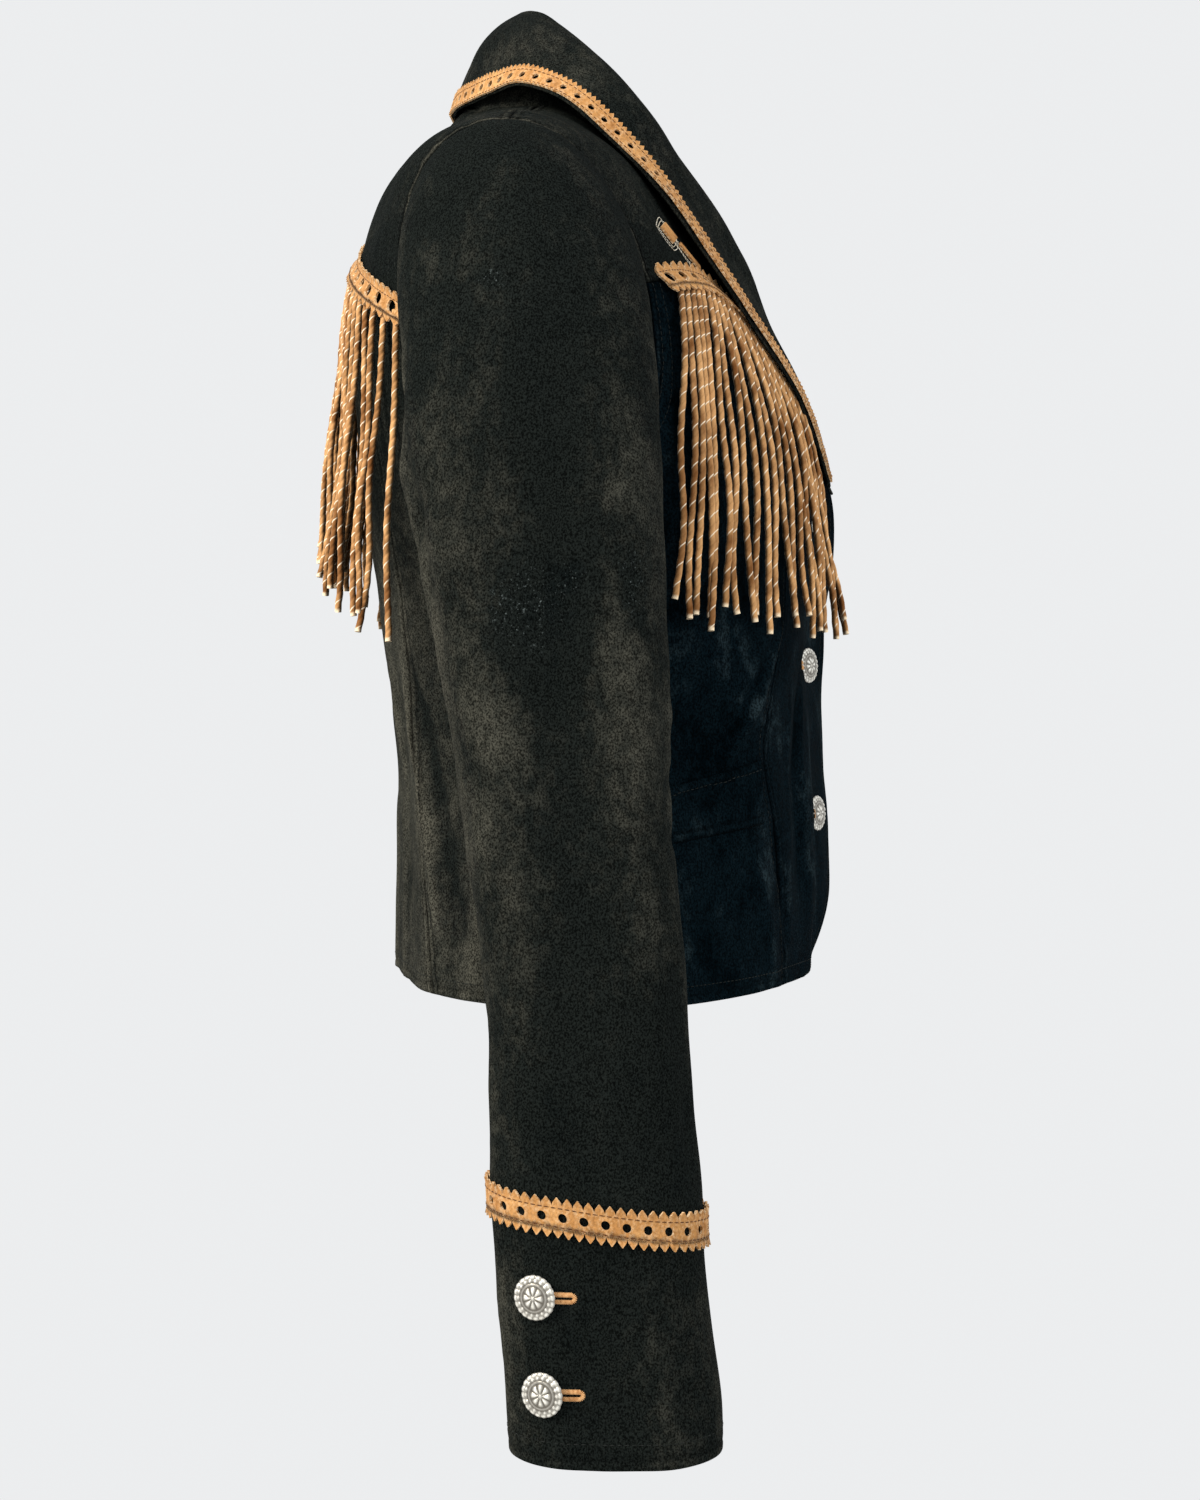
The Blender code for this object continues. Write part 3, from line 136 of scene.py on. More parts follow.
# Cross-sections of the body from hem to neck: v, z at the centre front, side and centre
# back, half width, y at the same three places, and how square each half is: 2 is round.
BODY_SECTIONS = {
    "hem":       (0.00, -0.468, -0.470, -0.463, 0.181, -0.1510, -0.037, 0.082, 1.60, 2.40),
    "hip":       (0.12, -0.405, -0.405, -0.405, 0.172, -0.1515, -0.037, 0.082, 1.65, 2.40),
    "waist":     (0.25, -0.345, -0.345, -0.345, 0.160, -0.1480, -0.034, 0.084, 1.80, 2.40),
    "ribs":      (0.40, -0.272, -0.272, -0.272, 0.166, -0.1460, -0.029, 0.092, 2.00, 2.40),
    "bust":      (0.55, -0.205, -0.205, -0.205, 0.176, -0.1500, -0.018, 0.101, 1.95, 2.50),
    "chest":     (0.68, -0.148, -0.142, -0.138, 0.185, -0.1390, -0.004, 0.106, 1.62, 2.50),
    "yoke":      (0.79, -0.098, -0.087, -0.080, 0.197, -0.1140, 0.006, 0.103, 1.42, 2.15),
    "shoulder":  (0.88, -0.062, -0.0445, -0.036, 0.190, -0.0830, 0.013, 0.087, 1.45, 1.90),
    "mid":       (0.94, -0.043, -0.022, -0.008, 0.131, -0.0630, 0.009, 0.066, 1.65, 1.90),
    "neck":      (1.00, -0.026, 0.000, 0.020, 0.070, -0.0460, 0.002, 0.045, 2.00, 2.00),
}
# How far the right front's edge stands forward at each height v.
FLARE_V = (0.00, 0.12, 0.25, 0.4, 0.55, 0.72)
FLARE = (0.014, 0.0135, 0.0135, 0.0155, 0.0165, 0.0)

# The armhole is an oval on the body surface.
ARM_V_LOW, ARM_V_TOP = 0.56, 0.88
ARM_V_MIDDLE, ARM_V_HALF = (ARM_V_TOP + ARM_V_LOW) / 2, (ARM_V_TOP - ARM_V_LOW) / 2
ARM_FRONT = math.radians(19.0)
ARM_BACK = math.radians(22.4)

# The seam lines below the yoke, as theta in degrees at each height v.
PRINCESS_V = (0.00, 0.12, 0.25, 0.4, 0.55, 0.72)
PRINCESS_FRONT = (42.5, 46.0, 52.5, 43.5, 43.0, 46.0)
PRINCESS_BACK = (124.0, 128.0, 132.0, 133.0, 131.0, 128.0)

# The yoke seams, as height v at the armhole and at the centre line.
YOKE_FRONT_THETA = (0.0, 15.0, 30.0, 43.0, 51.0, 60.0, 72.0)
YOKE_FRONT_V = (0.668, 0.705, 0.742, 0.761, 0.764, 0.756, 0.734)
YOKE_BACK = {"at_arm": 0.697, "at_centre": 0.812, "arch": 2.3}
YOKE_FRONT_ARM, YOKE_BACK_ARM = math.radians(72.0), math.radians(111.3)

# Sleeve: x and z of its outer line, down from the shoulder point, and of its inner
# line, down from the underarm, on the wearer's left.
SLEEVE_LINES = mm(
    (190, -44.5, 179, -200),  # seam
    (212, -55.5, 184, -205),  # cap
    (234, -84, 189, -213),  # head
    (249, -130, 192, -225),  # under
    (257, -190, 194, -248),  # biceps
    (260, -255, 195, -288),  # elbow up
    (263, -342, 197, -356),  # elbow
    (268, -425, 202, -430),  # forearm
    (274, -501, 209, -503),  # wrist up
    (280, -585, 215, -585.5),  # wrist
    (283, -655, 218, -655),  # cuff
)
# Front and back edges of the sleeve at falling heights.
SLEEVE_EDGE_Z = mm(
    -100, -137, -197, -221, -257, -300, -342, -384, -425, -466, -501, -545, -585, -634, -655)
SLEEVE_FRONT_Y = mm(
    -53, -54.5, -57.1, -59, -59.8, -60.6, -62.3, -63.5, -66.9, -69.5, -72.4, -76.3, -77.6, -84.3,
    -85)
SLEEVE_BACK_Y = mm(
    64, 65.6, 60, 61, 53.5, 45.3, 37.7, 31.1, 25.4, 20.7, 20, 19, 15.8, 11.4, 10.5)
SLEEVE_POWER = 2.2  # how square its section is: 2 is an ellipse
SLEEVE_BLEND = 0.36  # share of the sleeve over which the armhole oval becomes a tube
SLEEVE_BAND_Z = {"front": -0.557, "back": -0.543}
SLEEVE_SEAMS = (math.radians(122.2), math.radians(252.6))  # front and back seam

# The neck seam on the wearer's left at stations t, 0 at the centre back, 0.3 at the
# shoulder seam and 1 at the break: theta behind the shoulder, and x and z seen from
# the front before it.
NECK_BEHIND = (180.0, 150.0, 119.0, 90.0)
NECK_BEFORE = mm(
    (65.5, -23), (59, -48), (48, -73), (35, -100), (20, -129), (3, -160), (-18, -196))

# Collar, on the wearer's left: its roll line and its outer edge at the stations t.
COLLAR_T = (0.0, 0.1, 0.2, 0.3, 0.4, 0.5, 0.6, 0.7, 0.8, 0.9, 1.0)
COLLAR_ROLL = mm(
    (0, 15, 73.5), (26, 11, 67), (47, 0, 58.5), (58, -15, 43), (63.5, -38, 19), (65.5, -60, -10),
    (56, -86.8, -43), (39, -111, -76), (22, -127, -110), (4, -150, -148), (-18, -166.5, -190))
COLLAR_EDGE = mm(
    (0, 54.6, 16.9), (34, 47, 10.8), (66, 29, 7.8), (90, 11.6, 5), (107, -12, -8.5),
    (112, -36, -31), (109.5, -62, -59), (101, -87, -90), (85, -111, -121), (54, -139, -158.5),
    (-13, -158, -195))
COLLAR_ON_CHEST = 6  # from this station on, the collar lies on the front
COLLAR_LIFT = 0.0084  # the lapel's outer face above the front, over the fringe
LAPEL_LIFT = 0.0042  # and at the roll line
LAPEL_LIFT_UNDER = 0.0023  # the same where the right front covers the left lapel
NECK_GAP = 0.001  # between the neck seam and the collar's edge
COLLAR_ROWS = (0.0, 0.16, 0.26, 0.34, 0.56, 0.78, 1.0)  # w of the collar's guide rows
# Inlay on each front yoke: a lozenge and a bar, in metres along and up the yoke
# from its middle. along points to the centre front.
INLAY_AT = {"x": 0.118, "z": -0.081}
LOZENGE = ((-0.009, 0.0005), (-0.001, 0.0062), (0.0085, 0.0000), (-0.0005, -0.0062))
BAR = ((0.0076, -0.0046), (0.0105, -0.0018), (0.0275, -0.0116), (0.0247, -0.0148))
POCKET = {"theta_front": 54.5, "theta_back": 86.0, "low_front": 0.166, "low_back": 0.144,
          "top_front": 0.24, "top_back": 0.202}

# %% [markdown]
# ## The cloth as a surface
#
# The whole body is one smooth surface, body(theta, v). theta runs round the wearer
# from the centre front over the side to the centre back, and v runs up from the hem.
# The sleeve and the collar have surfaces of their own. A seam is then a line on such
# a surface, and a panel is the patch between four seams, so neighbours always meet.

# %% Curves through tables, and points off a surface
def smooth_through(knots, values, at):
    """Cubic curve through values at the rising knots, read at any array of places."""
    knots = np.asarray(knots, float)
    values = np.asarray(values, float)
    at = np.clip(np.asarray(at, float), knots[0], knots[-1])
    steps = np.diff(knots)
    tall = steps.reshape(-1, *[1] * (values.ndim - 1))
    slopes = np.diff(values, axis=0) / tall
    tangents = np.empty_like(values)
    tangents[0], tangents[-1] = slopes[0], slopes[-1]
    before, after = tall[:-1], tall[1:]
    tangents[1:-1] = (slopes[:-1] * after + slopes[1:] * before) / (before + after)
    i = np.clip(np.searchsorted(knots, at, side="right") - 1, 0, len(steps) - 1)
    h = steps[i]
    u = (at - knots[i]) / h
    h, u = (a.reshape(a.shape + (1,) * (values.ndim - 1)) for a in (h, u))
    return (values[i] * (1 + 2 * u) * (1 - u) ** 2 + tangents[i] * h * u * (1 - u) ** 2
            + values[i + 1] * u * u * (3 - 2 * u) + tangents[i + 1] * h * u * u * (u - 1))


def ease(x):
    """0 below 0, 1 above 1, and a smooth step between."""
    x = np.clip(x, 0.0, 1.0)
    return x * x * (3 - 2 * x)


def unit(vectors):
    return vectors / np.maximum(np.linalg.norm(vectors, axis=-1, keepdims=True), 1e-12)


def lifted(surface, a, b, out=0.0, step=1e-4):
    """Points of a surface at (a, b), moved out along its normal."""
    a, b = np.broadcast_arrays(np.asarray(a, float), np.asarray(b, float))
    along_a = surface(a + step, b) - surface(a - step, b)
    along_b = surface(a, b + step) - surface(a, b - step)
    normal = unit(np.cross(along_a, along_b))
    return surface(a, b) + normal * np.asarray(out, float)[..., None]

# %% [markdown]
# ## Creases
#
# Suede is soft but thick, so worn it shows few, broad creases: where the arm bends, a
# button pulls or the hem swings. Each one is given as a short line with a
# width and a height. A ridge is positive and a trough negative.

# %% Creases, in metres along and up the cloth
def crease_relief(table, a, b):
    """Height of the creases in a table at places (a, b), in metres over the cloth."""
    relief = np.zeros(np.broadcast(a, b).shape)
    for a0, b0, a1, b1, half_width, height in table:
        length = (a1 - a0) ** 2 + (b1 - b0) ** 2
        share = np.clip(((a - a0) * (a1 - a0) + (b - b0) * (b1 - b0)) / length, 0, 1)
        apart = np.hypot(a - a0 - share * (a1 - a0), b - b0 - share * (b1 - b0))
        fade = (4 * share * (1 - share)) ** 0.7
        relief = relief + height * np.exp(-((apart / half_width) ** 2)) * fade
    return relief


def crease_table(rows, a_scale, b_scale):
    """Rows of (a, b, a, b, half width, height), with a and b scaled to metres."""
    scale = np.array([a_scale, b_scale, a_scale, b_scale, 0.001, 0.001])
    return [np.array(row) * scale for row in rows]


def fold_relief(table, degrees, place):
    """Height of the broad soft folds in a table, at degrees round and a place along."""
    out = np.zeros_like(degrees)
    for first, last, half_width, low, high, height in table.values():
        along = np.clip((place - low) / (high - low), 0, 1)
        apart = (degrees - first - (last - first) * along + 180) % 360 - 180
        out = out + height * np.exp(-((apart / half_width) ** 2)) * np.sin(math.pi * along) ** 2
    return out


BODY_SCALE = (0.003, 0.5)  # metres in a degree of theta, and in v
SLEEVE_SCALE = (0.00085, 0.63)  # metres in a degree of phi, and in t
# theta and v at both ends, then half width and height in millimetres
BODY_CREASES = crease_table((
    (43, 0.4, 67, 0.215, 3.2, 2.4), (46.5, 0.395, 69.5, 0.222, 3, -2),
    (53, 0.315, 65.5, 0.232, 2.4, 1.3), (22.5, 0.35, 24, 0.06, 3.5, 1.5),
    (27.5, 0.33, 29, 0.08, 4.5, -1.8), (35, 0.33, 40, 0.12, 5, 1.2),
    (139, 0.38, 122, 0.04, 4, 2.4), (133, 0.37, 116.5, 0.05, 5, -2.2),
    (150, 0.21, 143, -0.05, 6, 2.2), (205, 0.36, 222, 0.06, 5, 2),
    (212, 0.33, 229, 0.08, 5.5, -2.2), (196, 0.2, 201, -0.06, 8, 2.2),
    (190, 0.33, 208, 0.31, 8, -1.8), (51, 0.175, 41, 0.035, 6, -2.6),
    (58, 0.15, 47, -0.02, 8, 2.2), (9, 0.19, 13, 0.05, 5, 2), (4, 0.175, 24, 0.12, 5, -1.6),
    (6, 0.36, 30, 0.33, 6, -1.8), (8, 0.38, 26, 0.43, 7, 1.6), (66, 0.42, 88, 0.37, 7, -2),
    (70, 0.35, 92, 0.33, 6, 1.6), (100, 0.4, 126, 0.35, 8, -2.2), (118, 0.33, 96, 0.29, 7, 1.5),
    (110, 0.18, 116, -0.02, 7, 2), (150, 0.34, 172, 0.3, 9, -2),
    (156, 0.18, 160, -0.04, 10, 2.2), (148, 0.42, 170, 0.45, 8, 1.6),
    (96, 0.56, 104, 0.43, 7, -2.2), (84, 0.56, 77, 0.44, 6, -2),
), *BODY_SCALE)
# phi and t at both ends, then the same
SLEEVE_CREASES = crease_table((
    (-66, 0.14, -98, 0.153, 4, -2), (-72, 0.178, -97, 0.186, 3.5, 1.6),
    (-64, 0.338, -96, 0.352, 4.5, -1.8), (-60, 0.11, -20, 0.15, 7, -1.3),
    (8, 0.06, 44, 0.13, 8, 1.4), (20, 0.03, 62, 0.11, 6, -1.4),
    (-62, 0.196, -102, 0.222, 5.5, -3.4), (-70, 0.243, -99, 0.258, 4.5, 1.6),
    (-58, 0.292, -97, 0.306, 5, -2.2), (-84, 0.47, -30, 0.505, 9, -1.5),
    (-86, 0.56, -40, 0.54, 8, 1.2), (104, 0.485, 62, 0.505, 6, -2),
    (100, 0.545, 66, 0.53, 5, -1.6), (102, 0.43, 70, 0.455, 6, 1.3),
    (-40, 0.22, -30, 0.76, 11, 1.7), (12, 0.1, 4, 0.56, 13, -1.7), (40, 0.18, 36, 0.8, 12, 1.4),
    (-12, 0.6, -20, 0.87, 11, -1.3), (-14, 0.86, -18, 1.04, 10, -1.5),
    (22, 0.86, 28, 1.04, 11, 1.5), (60, 0.62, 66, 0.86, 9, -1.4), (150, 0.48, 200, 0.5, 7, -2.4),
    (160, 0.54, 205, 0.53, 6, 1.6),
), *SLEEVE_SCALE)

# %% The body's surface and its seam lines
SECTION_V = np.array([row[0] for row in BODY_SECTIONS.values()])
SECTION_SIZES = np.array([row[1:] for row in BODY_SECTIONS.values()])


def body(theta, v):
    """Outer face of the wearer's left half. A negative theta crosses the centre front."""
    theta, v = np.broadcast_arrays(np.asarray(theta, float), np.asarray(v, float))
    sizes = smooth_through(SECTION_V, SECTION_SIZES, v)
    z_front, z_side, z_back, half_width, y_front, y_side, y_back, n_front, n_back = (
        np.moveaxis(sizes, -1, 0))
    c, s = np.cos(theta), np.sin(theta)
    is_front = c >= 0
    depth = np.where(is_front, y_side - y_front, y_back - y_side)
    power = np.where(is_front, n_front, n_back)
    radius = (np.abs(c / depth) ** power + np.abs(s / half_width) ** power) ** (-1 / power)
    radius = radius + body_folds(theta, v)
    x = radius * s
    y = y_side - radius * c
    z = z_side + np.where(is_front, z_front - z_side, z_back - z_side) * c * c
    return np.stack([x, y, z], axis=-1)


# Soft folds of the body: theta at both ends, half width in degrees, v at both ends,
# and height out. A trough is negative.
BODY_FOLDS = {
    "front_flare":   (24.0, 14.0, 6.0, -0.10, 0.34, 0.0035),
    "front_trough":  (35.0, 27.0, 6.0, -0.05, 0.40, -0.0035),
    "pocket_ridge":  (62.0, 44.0, 7.0, 0.20, 0.52, 0.0040),
    "side_trough":   (74.0, 70.0, 8.0, -0.10, 0.45, -0.0035),
    "side_ridge":    (98.0, 96.0, 8.0, -0.10, 0.42, 0.0035),
    "back_ridge":    (122.0, 138.0, 6.0, -0.15, 0.55, 0.0045),
    "back_trough":   (142.0, 150.0, 8.0, -0.10, 0.45, -0.0040),
    "centre_ridge":  (165.0, 168.0, 8.0, -0.20, 0.40, 0.0030),
}


def to_right_seam(relief, theta, v):
    """Relief at theta, from a function of degrees and v. The back is cut in one, so its
    right half has its own creases, but at its seam they meet the mirrored side panel's."""
    degrees = np.degrees(theta)
    share = ease((degrees - 205.0) / 16.0)
    return relief(degrees, v) * (1 - share) + relief(360.0 - degrees, v) * share


def body_creases(degrees, v):
    return crease_relief(BODY_CREASES, degrees * BODY_SCALE[0], v * BODY_SCALE[1])


def body_folds(theta, v):
    return to_right_seam(lambda degrees, at: fold_relief(BODY_FOLDS, degrees, at)
                         + body_creases(degrees, at), theta, v)


def body_at(x, z, back=False):
    """theta and v of the body point whose front-view position is (x, z)."""
    x, z = np.broadcast_arrays(np.asarray(x, float), np.asarray(z, float))
    height = SECTION_SIZES[:, 2] if back else SECTION_SIZES[:, 0]
    v = np.interp(z, height, SECTION_V)
    sign = -1.0 if back else 1.0
    theta = np.arctan2(x, 0.11)
    theta = math.pi - theta if back else theta
    step = 1e-5
    for _ in range(30):
        here = body(theta, v)
        error_x, error_z = here[..., 0] - x, here[..., 2] - z
        by_theta = (body(theta + step, v) - here) / step
        by_v = (body(theta, v + step) - here) / step
        det = by_theta[..., 0] * by_v[..., 2] - by_v[..., 0] * by_theta[..., 2]
        det = np.where(np.abs(det) < 1e-6, 1e-6 * sign, det)
        move_theta = (error_x * by_v[..., 2] - error_z * by_v[..., 0]) / det
        move_v = (error_z * by_theta[..., 0] - error_x * by_theta[..., 2]) / det
        theta = theta - np.clip(move_theta, -0.15, 0.15)
        v = np.clip(v - np.clip(move_v, -0.05, 0.05), 0.0, 1.0)
    return theta, v


OUTLINE_THETA = np.linspace(0.0, math.pi, 361)
OUTLINE_V = np.linspace(0.0, 1.0, 201)
OUTLINE_Z = body(OUTLINE_THETA[:, None], OUTLINE_V[None, :])[..., 2]


def outline_at(z):
    """The body's outline from above at height z: theta, v, points (x, y) and the
    directions that point out of it."""
    v = np.array([np.interp(z, heights, OUTLINE_V) for heights in OUTLINE_Z])
    points = body(OUTLINE_THETA, v)[:, :2]
    along = np.gradient(points, axis=0)
    return OUTLINE_THETA, v, points, unit(np.stack([along[:, 1], -along[:, 0]], axis=-1))


def armhole(phi):
    """theta and v of the armhole oval. phi is 0 at the shoulder point, 90 in front."""
    wide = np.sin(phi)
    theta = math.pi / 2 - np.where(wide > 0, ARM_FRONT, ARM_BACK) * wide
    return theta, ARM_V_MIDDLE + ARM_V_HALF * np.cos(phi)


def seam_heights(v):
    """Sine of the way round the armhole oval at height v, 0 below and above it."""
    return np.sqrt(np.clip(1 - ((v - ARM_V_MIDDLE) / ARM_V_HALF) ** 2, 0, 1))


def side_edge(v, back):
    """theta of the side seam, or of the armhole above it."""
    return math.pi / 2 + (ARM_BACK if back else -ARM_FRONT) * seam_heights(v)


def front_edge(v):
    """theta of the front's free edge: overlap, rounded lower corner, neck edge."""
    z = body(0.0, v)[..., 2]
    down = np.clip((HEM_Z + CORNER_HEIGHT - z) / CORNER_HEIGHT, 0, 1)
    x = -OVERLAP + CORNER_WIDTH * (1 - np.sqrt(1 - (0.985 * down) ** 2))
    theta = np.zeros_like(z)
    for _ in range(20):
        theta = theta + (x - body(theta, v)[..., 0]) / 0.12
    return theta


def neck_stations():
    """theta and v of the neck seam at each COLLAR_T."""
    theta, v = body_at(*NECK_BEFORE.T)
    behind = np.radians(NECK_BEHIND)
    return np.concatenate([behind, theta]), np.concatenate([np.ones(len(behind)), v])


def neck_seam(t):
    """theta and v of the neck seam at any t."""
    return smooth_through(COLLAR_T, NECK_THETA, t), smooth_through(COLLAR_T, NECK_V, t)


def front_lift(theta, v, side):
    """How far the right front (side -1) stands out by its edge, and how far the left
    front (side 1) is set in, where the right one covers it."""
    if side < 0:
        x = body(theta, v)[..., 0]
        share = np.clip((FLARE_FROM - x) / (FLARE_FROM + OVERLAP), 0, 1)
        return smooth_through(FLARE_V, FLARE, v) * share ** 1.5 * (np.abs(theta) < 1)
    depth = UNDERLAP_LOW + (UNDERLAP_HIGH - UNDERLAP_LOW) * ease((v - 0.48) / 0.07)
    near_front = 1 - ease((np.degrees(theta) - 10.0) / 22.0)
    return -depth * near_front * (1 - ease((v - 0.7) / 0.12))


def front(side):
    """The body surface with this side's flare or underlap."""
    return lambda theta, v: lifted(body, theta, v, front_lift(theta, v, side))


def yoke_line(theta, back=False):
    """Height v of the yoke seam."""
    if back:
        share = (math.pi - theta) / (math.pi - YOKE_BACK_ARM)
        fall = YOKE_BACK["at_centre"] - YOKE_BACK["at_arm"]
        return YOKE_BACK["at_centre"] - fall * np.abs(share) ** YOKE_BACK["arch"]
    return smooth_through(YOKE_FRONT_THETA, YOKE_FRONT_V, np.degrees(theta))

# %% [markdown]
# ## The sleeve
#
# A two-piece sleeve bends with the arm and has a seam at its back and one inside its
# front. Its surface starts as the armhole's own oval, so that its head meets the body
# all round, and turns into a tube as it goes down.

# %% The sleeve's surface
OUTER_LINE, INNER_LINE = SLEEVE_LINES[:, :2], SLEEVE_LINES[:, 2:]
SLEEVE_T = np.concatenate([[0.0], np.cumsum(np.linalg.norm(
    np.diff((OUTER_LINE + INNER_LINE) / 2 + 0.25 * (OUTER_LINE - INNER_LINE), axis=0), axis=1))])
SLEEVE_T = SLEEVE_T / SLEEVE_T[-1]


def sleeve(phi, t):
    """Outer face of the left sleeve: phi runs round it from its outer line (0) over its
    front, and t is 0 at the armhole and 1 at the cuff."""
    t, phi = np.broadcast_arrays(np.asarray(t, float), np.asarray(phi, float))
    outer_x, outer_z, inner_x, inner_z = np.moveaxis(
        smooth_through(SLEEVE_T, SLEEVE_LINES, t), -1, 0)
    middle_z = (outer_z + inner_z) / 2
    front_y = smooth_through(-SLEEVE_EDGE_Z, SLEEVE_FRONT_Y, -middle_z)
    back_y = smooth_through(-SLEEVE_EDGE_Z, SLEEVE_BACK_Y, -middle_z)
    middle_y = (front_y + back_y) / 2
    c, s = np.cos(phi), np.sin(phi)
    round_off = (np.abs(c) ** SLEEVE_POWER + np.abs(s) ** SLEEVE_POWER) ** (-1 / SLEEVE_POWER)
    x = (outer_x + inner_x) / 2 + (outer_x - inner_x) / 2 * c * round_off
    y = middle_y + np.where(s > 0, front_y - middle_y, middle_y - back_y) * s * round_off
    outward = np.stack([c, -s, 0 * c], axis=-1)
    tube = np.stack([x, y, middle_z + (outer_z - inner_z) / 2 * c], axis=-1)
    tube = tube + sleeve_folds(t, phi)[..., None] * outward
    ring = body(*armhole(phi))
    share = np.clip(t / SLEEVE_BLEND, 0, 1)[..., None]
    puff = 0.006 * np.sin(math.pi * share) * outward * np.clip(c, 0, 1)[..., None]
    share = share * (2 - share)
    return ring * (1 - share) + tube * share + puff


# Folds of the sleeve: phi and its drift down the sleeve, half-width in degrees,
# t range and height out.
SLEEVE_FOLDS = {
    "outer_trough":  (352.0, 372.0, 17.0, 0.20, 0.80, -0.0030),
    "front_ridge":   (48.0, 40.0, 14.0, 0.16, 0.75, 0.0025),
    "back_ridge":    (305.0, 318.0, 14.0, 0.22, 0.90, 0.0025),
    "back_trough":   (284.0, 290.0, 12.0, 0.12, 0.45, -0.0040),
    "under_trough":  (180.0, 176.0, 24.0, 0.15, 0.95, -0.0060),
    "cuff_trough":   (372.0, 366.0, 22.0, 0.70, 1.15, -0.0022),
}


def sleeve_creases(t, phi):
    turned = (np.degrees(phi) + 135) % 360 - 135
    return crease_relief(SLEEVE_CREASES, turned * SLEEVE_SCALE[0], t * SLEEVE_SCALE[1])


def sleeve_folds(t, phi):
    return fold_relief(SLEEVE_FOLDS, np.degrees(phi), t) + sleeve_creases(t, phi)

# %% [markdown]
# ## The shawl collar
#
# A shawl collar is one piece with its lapels. It rises from the neck seam, rolls over
# and falls to its outer edge, and from the shoulder on it lies on the chest. Guide
# rows run along it, and a smooth curve joins them across.

# %% The collar's surface
NECK_THETA, NECK_V = neck_stations()


def lapel_lift(x, z, share, side):
    """Height of the lapel's outer face above the front, share of the way from its roll
    line to its outer edge."""
    lift = LAPEL_LIFT + (COLLAR_LIFT - LAPEL_LIFT) * ease(share * 2.4)
    if side < 0:
        free = ease((x + 0.016) / 0.028)
    else:
        cover = 0.004 - np.interp(-z, -COLLAR_ROLL[:, 2], COLLAR_ROLL[:, 0])
        free = ease((x - cover) / 0.018)
    return LAPEL_LIFT_UNDER + (lift - LAPEL_LIFT_UNDER) * free


def collar_guides(side):
    """Rows of points along the collar: its seam, either side of the roll, the roll
    line, two across the fall, and its outer edge."""
    roll, edge = COLLAR_ROLL.copy(), COLLAR_EDGE
    count = len(COLLAR_T)
    seam = lifted(body, NECK_THETA, NECK_V, front_lift(NECK_THETA, NECK_V, side) - SUEDE)
    seam = seam + unit(roll - seam) * NECK_GAP
    rows = [seam, seam + (roll - seam) * 0.72, roll]
    across = edge - roll
    outward = unit(np.cross(np.gradient(roll, axis=0), across))
    for share, crown in ((0.1, 0.004), (0.38, 0.009), (0.7, 0.006), (1.0, 0.0)):
        flat = (np.arange(count) >= COLLAR_ON_CHEST)[:, None]
        rows.append(roll + across * share + outward * crown * np.where(flat, 0.35, 1.0))
    for row, share in zip(rows[1:], (-0.1, 0.0, 0.1, 0.38, 0.7, 1.0)):
        on_chest = row[COLLAR_ON_CHEST:]
        theta, v = body_at(on_chest[:, 0], on_chest[:, 2])
        base = front_lift(theta, v, side)
        if share < 0:
            least = lifted(body, theta, v, base - SUEDE)
        elif share == 0:
            least = lifted(body, theta, v, base + LAPEL_LIFT_UNDER / 2 - SUEDE / 2)
        else:
            lift = lapel_lift(on_chest[:, 0], on_chest[:, 2], share, side)
            least = lifted(body, theta, v, base + lift)
        first = -1.0 if share < 0.3 else 0.5
        lying = ease((np.arange(len(on_chest)) + first) / 3.0)[:, None]
        free = on_chest.copy()
        free[:, 1] = np.minimum(free[:, 1], least[:, 1])
        on_chest[:] = free * (1 - lying) + least * lying
    return np.stack(rows, axis=1)


COLLAR_GUIDES = {side: collar_guides(side) for side in (-1, 1)}


def collar(side):
    """Outer face of one half of the collar, as a function of t from the centre back to
    the break and w from its seam over the roll line to its outer edge."""

    def surface(t, w):
        t, w = np.broadcast_arrays(np.asarray(t, float), np.asarray(w, float))
        rows = smooth_through(COLLAR_T, COLLAR_GUIDES[side], np.abs(t))
        rows = np.where((t < 0)[..., None, None], rows * np.array([-1.0, 1, 1]), rows)
        weights = smooth_through(COLLAR_ROWS, np.eye(len(COLLAR_ROWS)), w)
        return np.einsum("...k,...kc->...c", weights, rows)

    return surface

# %% [markdown]
# ## Finishes
#
# Suede is the flesh side of leather, brushed up into a short nap. The nap lies this
# way and that, so the colour comes and goes in fibres, clumps and brushed patches.
# Those three are one node group, which every suede here uses with its own sizes.

# %% Helpers for node trees
def add(tree, kind, inputs=(), **settings):
    """Adds a node: a setting is an attribute, and an input is a value or a socket."""
    node = tree.nodes.new(kind)
    for key, value in settings.items():
        setattr(node, key, value)
    for key, value in dict(inputs).items():
        if isinstance(value, bpy.types.NodeSocket):
            tree.links.new(value, node.inputs[key])
        else:
            node.inputs[key].default_value = value
    return node


def new_group(name, kind, inputs, outputs):
    """A node group with named sockets, the sockets it reads and those it feeds."""
    group = bpy.data.node_groups.new(name, kind)
    for label, socket, value in inputs:
        made = group.interface.new_socket(label, in_out="INPUT", socket_type=socket)
        if value is not None:
            made.default_value = value
    for label, socket in outputs:
        group.interface.new_socket(label, in_out="OUTPUT", socket_type=socket)
    return (group, group.nodes.new("NodeGroupInput").outputs,
            group.nodes.new("NodeGroupOutput").inputs)


def in_group(tree, group, inputs):
    """Places a shader group in a tree, and gives what it puts out."""
    return add(tree, "ShaderNodeGroup", inputs, node_tree=group).outputs


def feed(node, name, socket):
    node.id_data.links.new(socket, node.inputs[name])


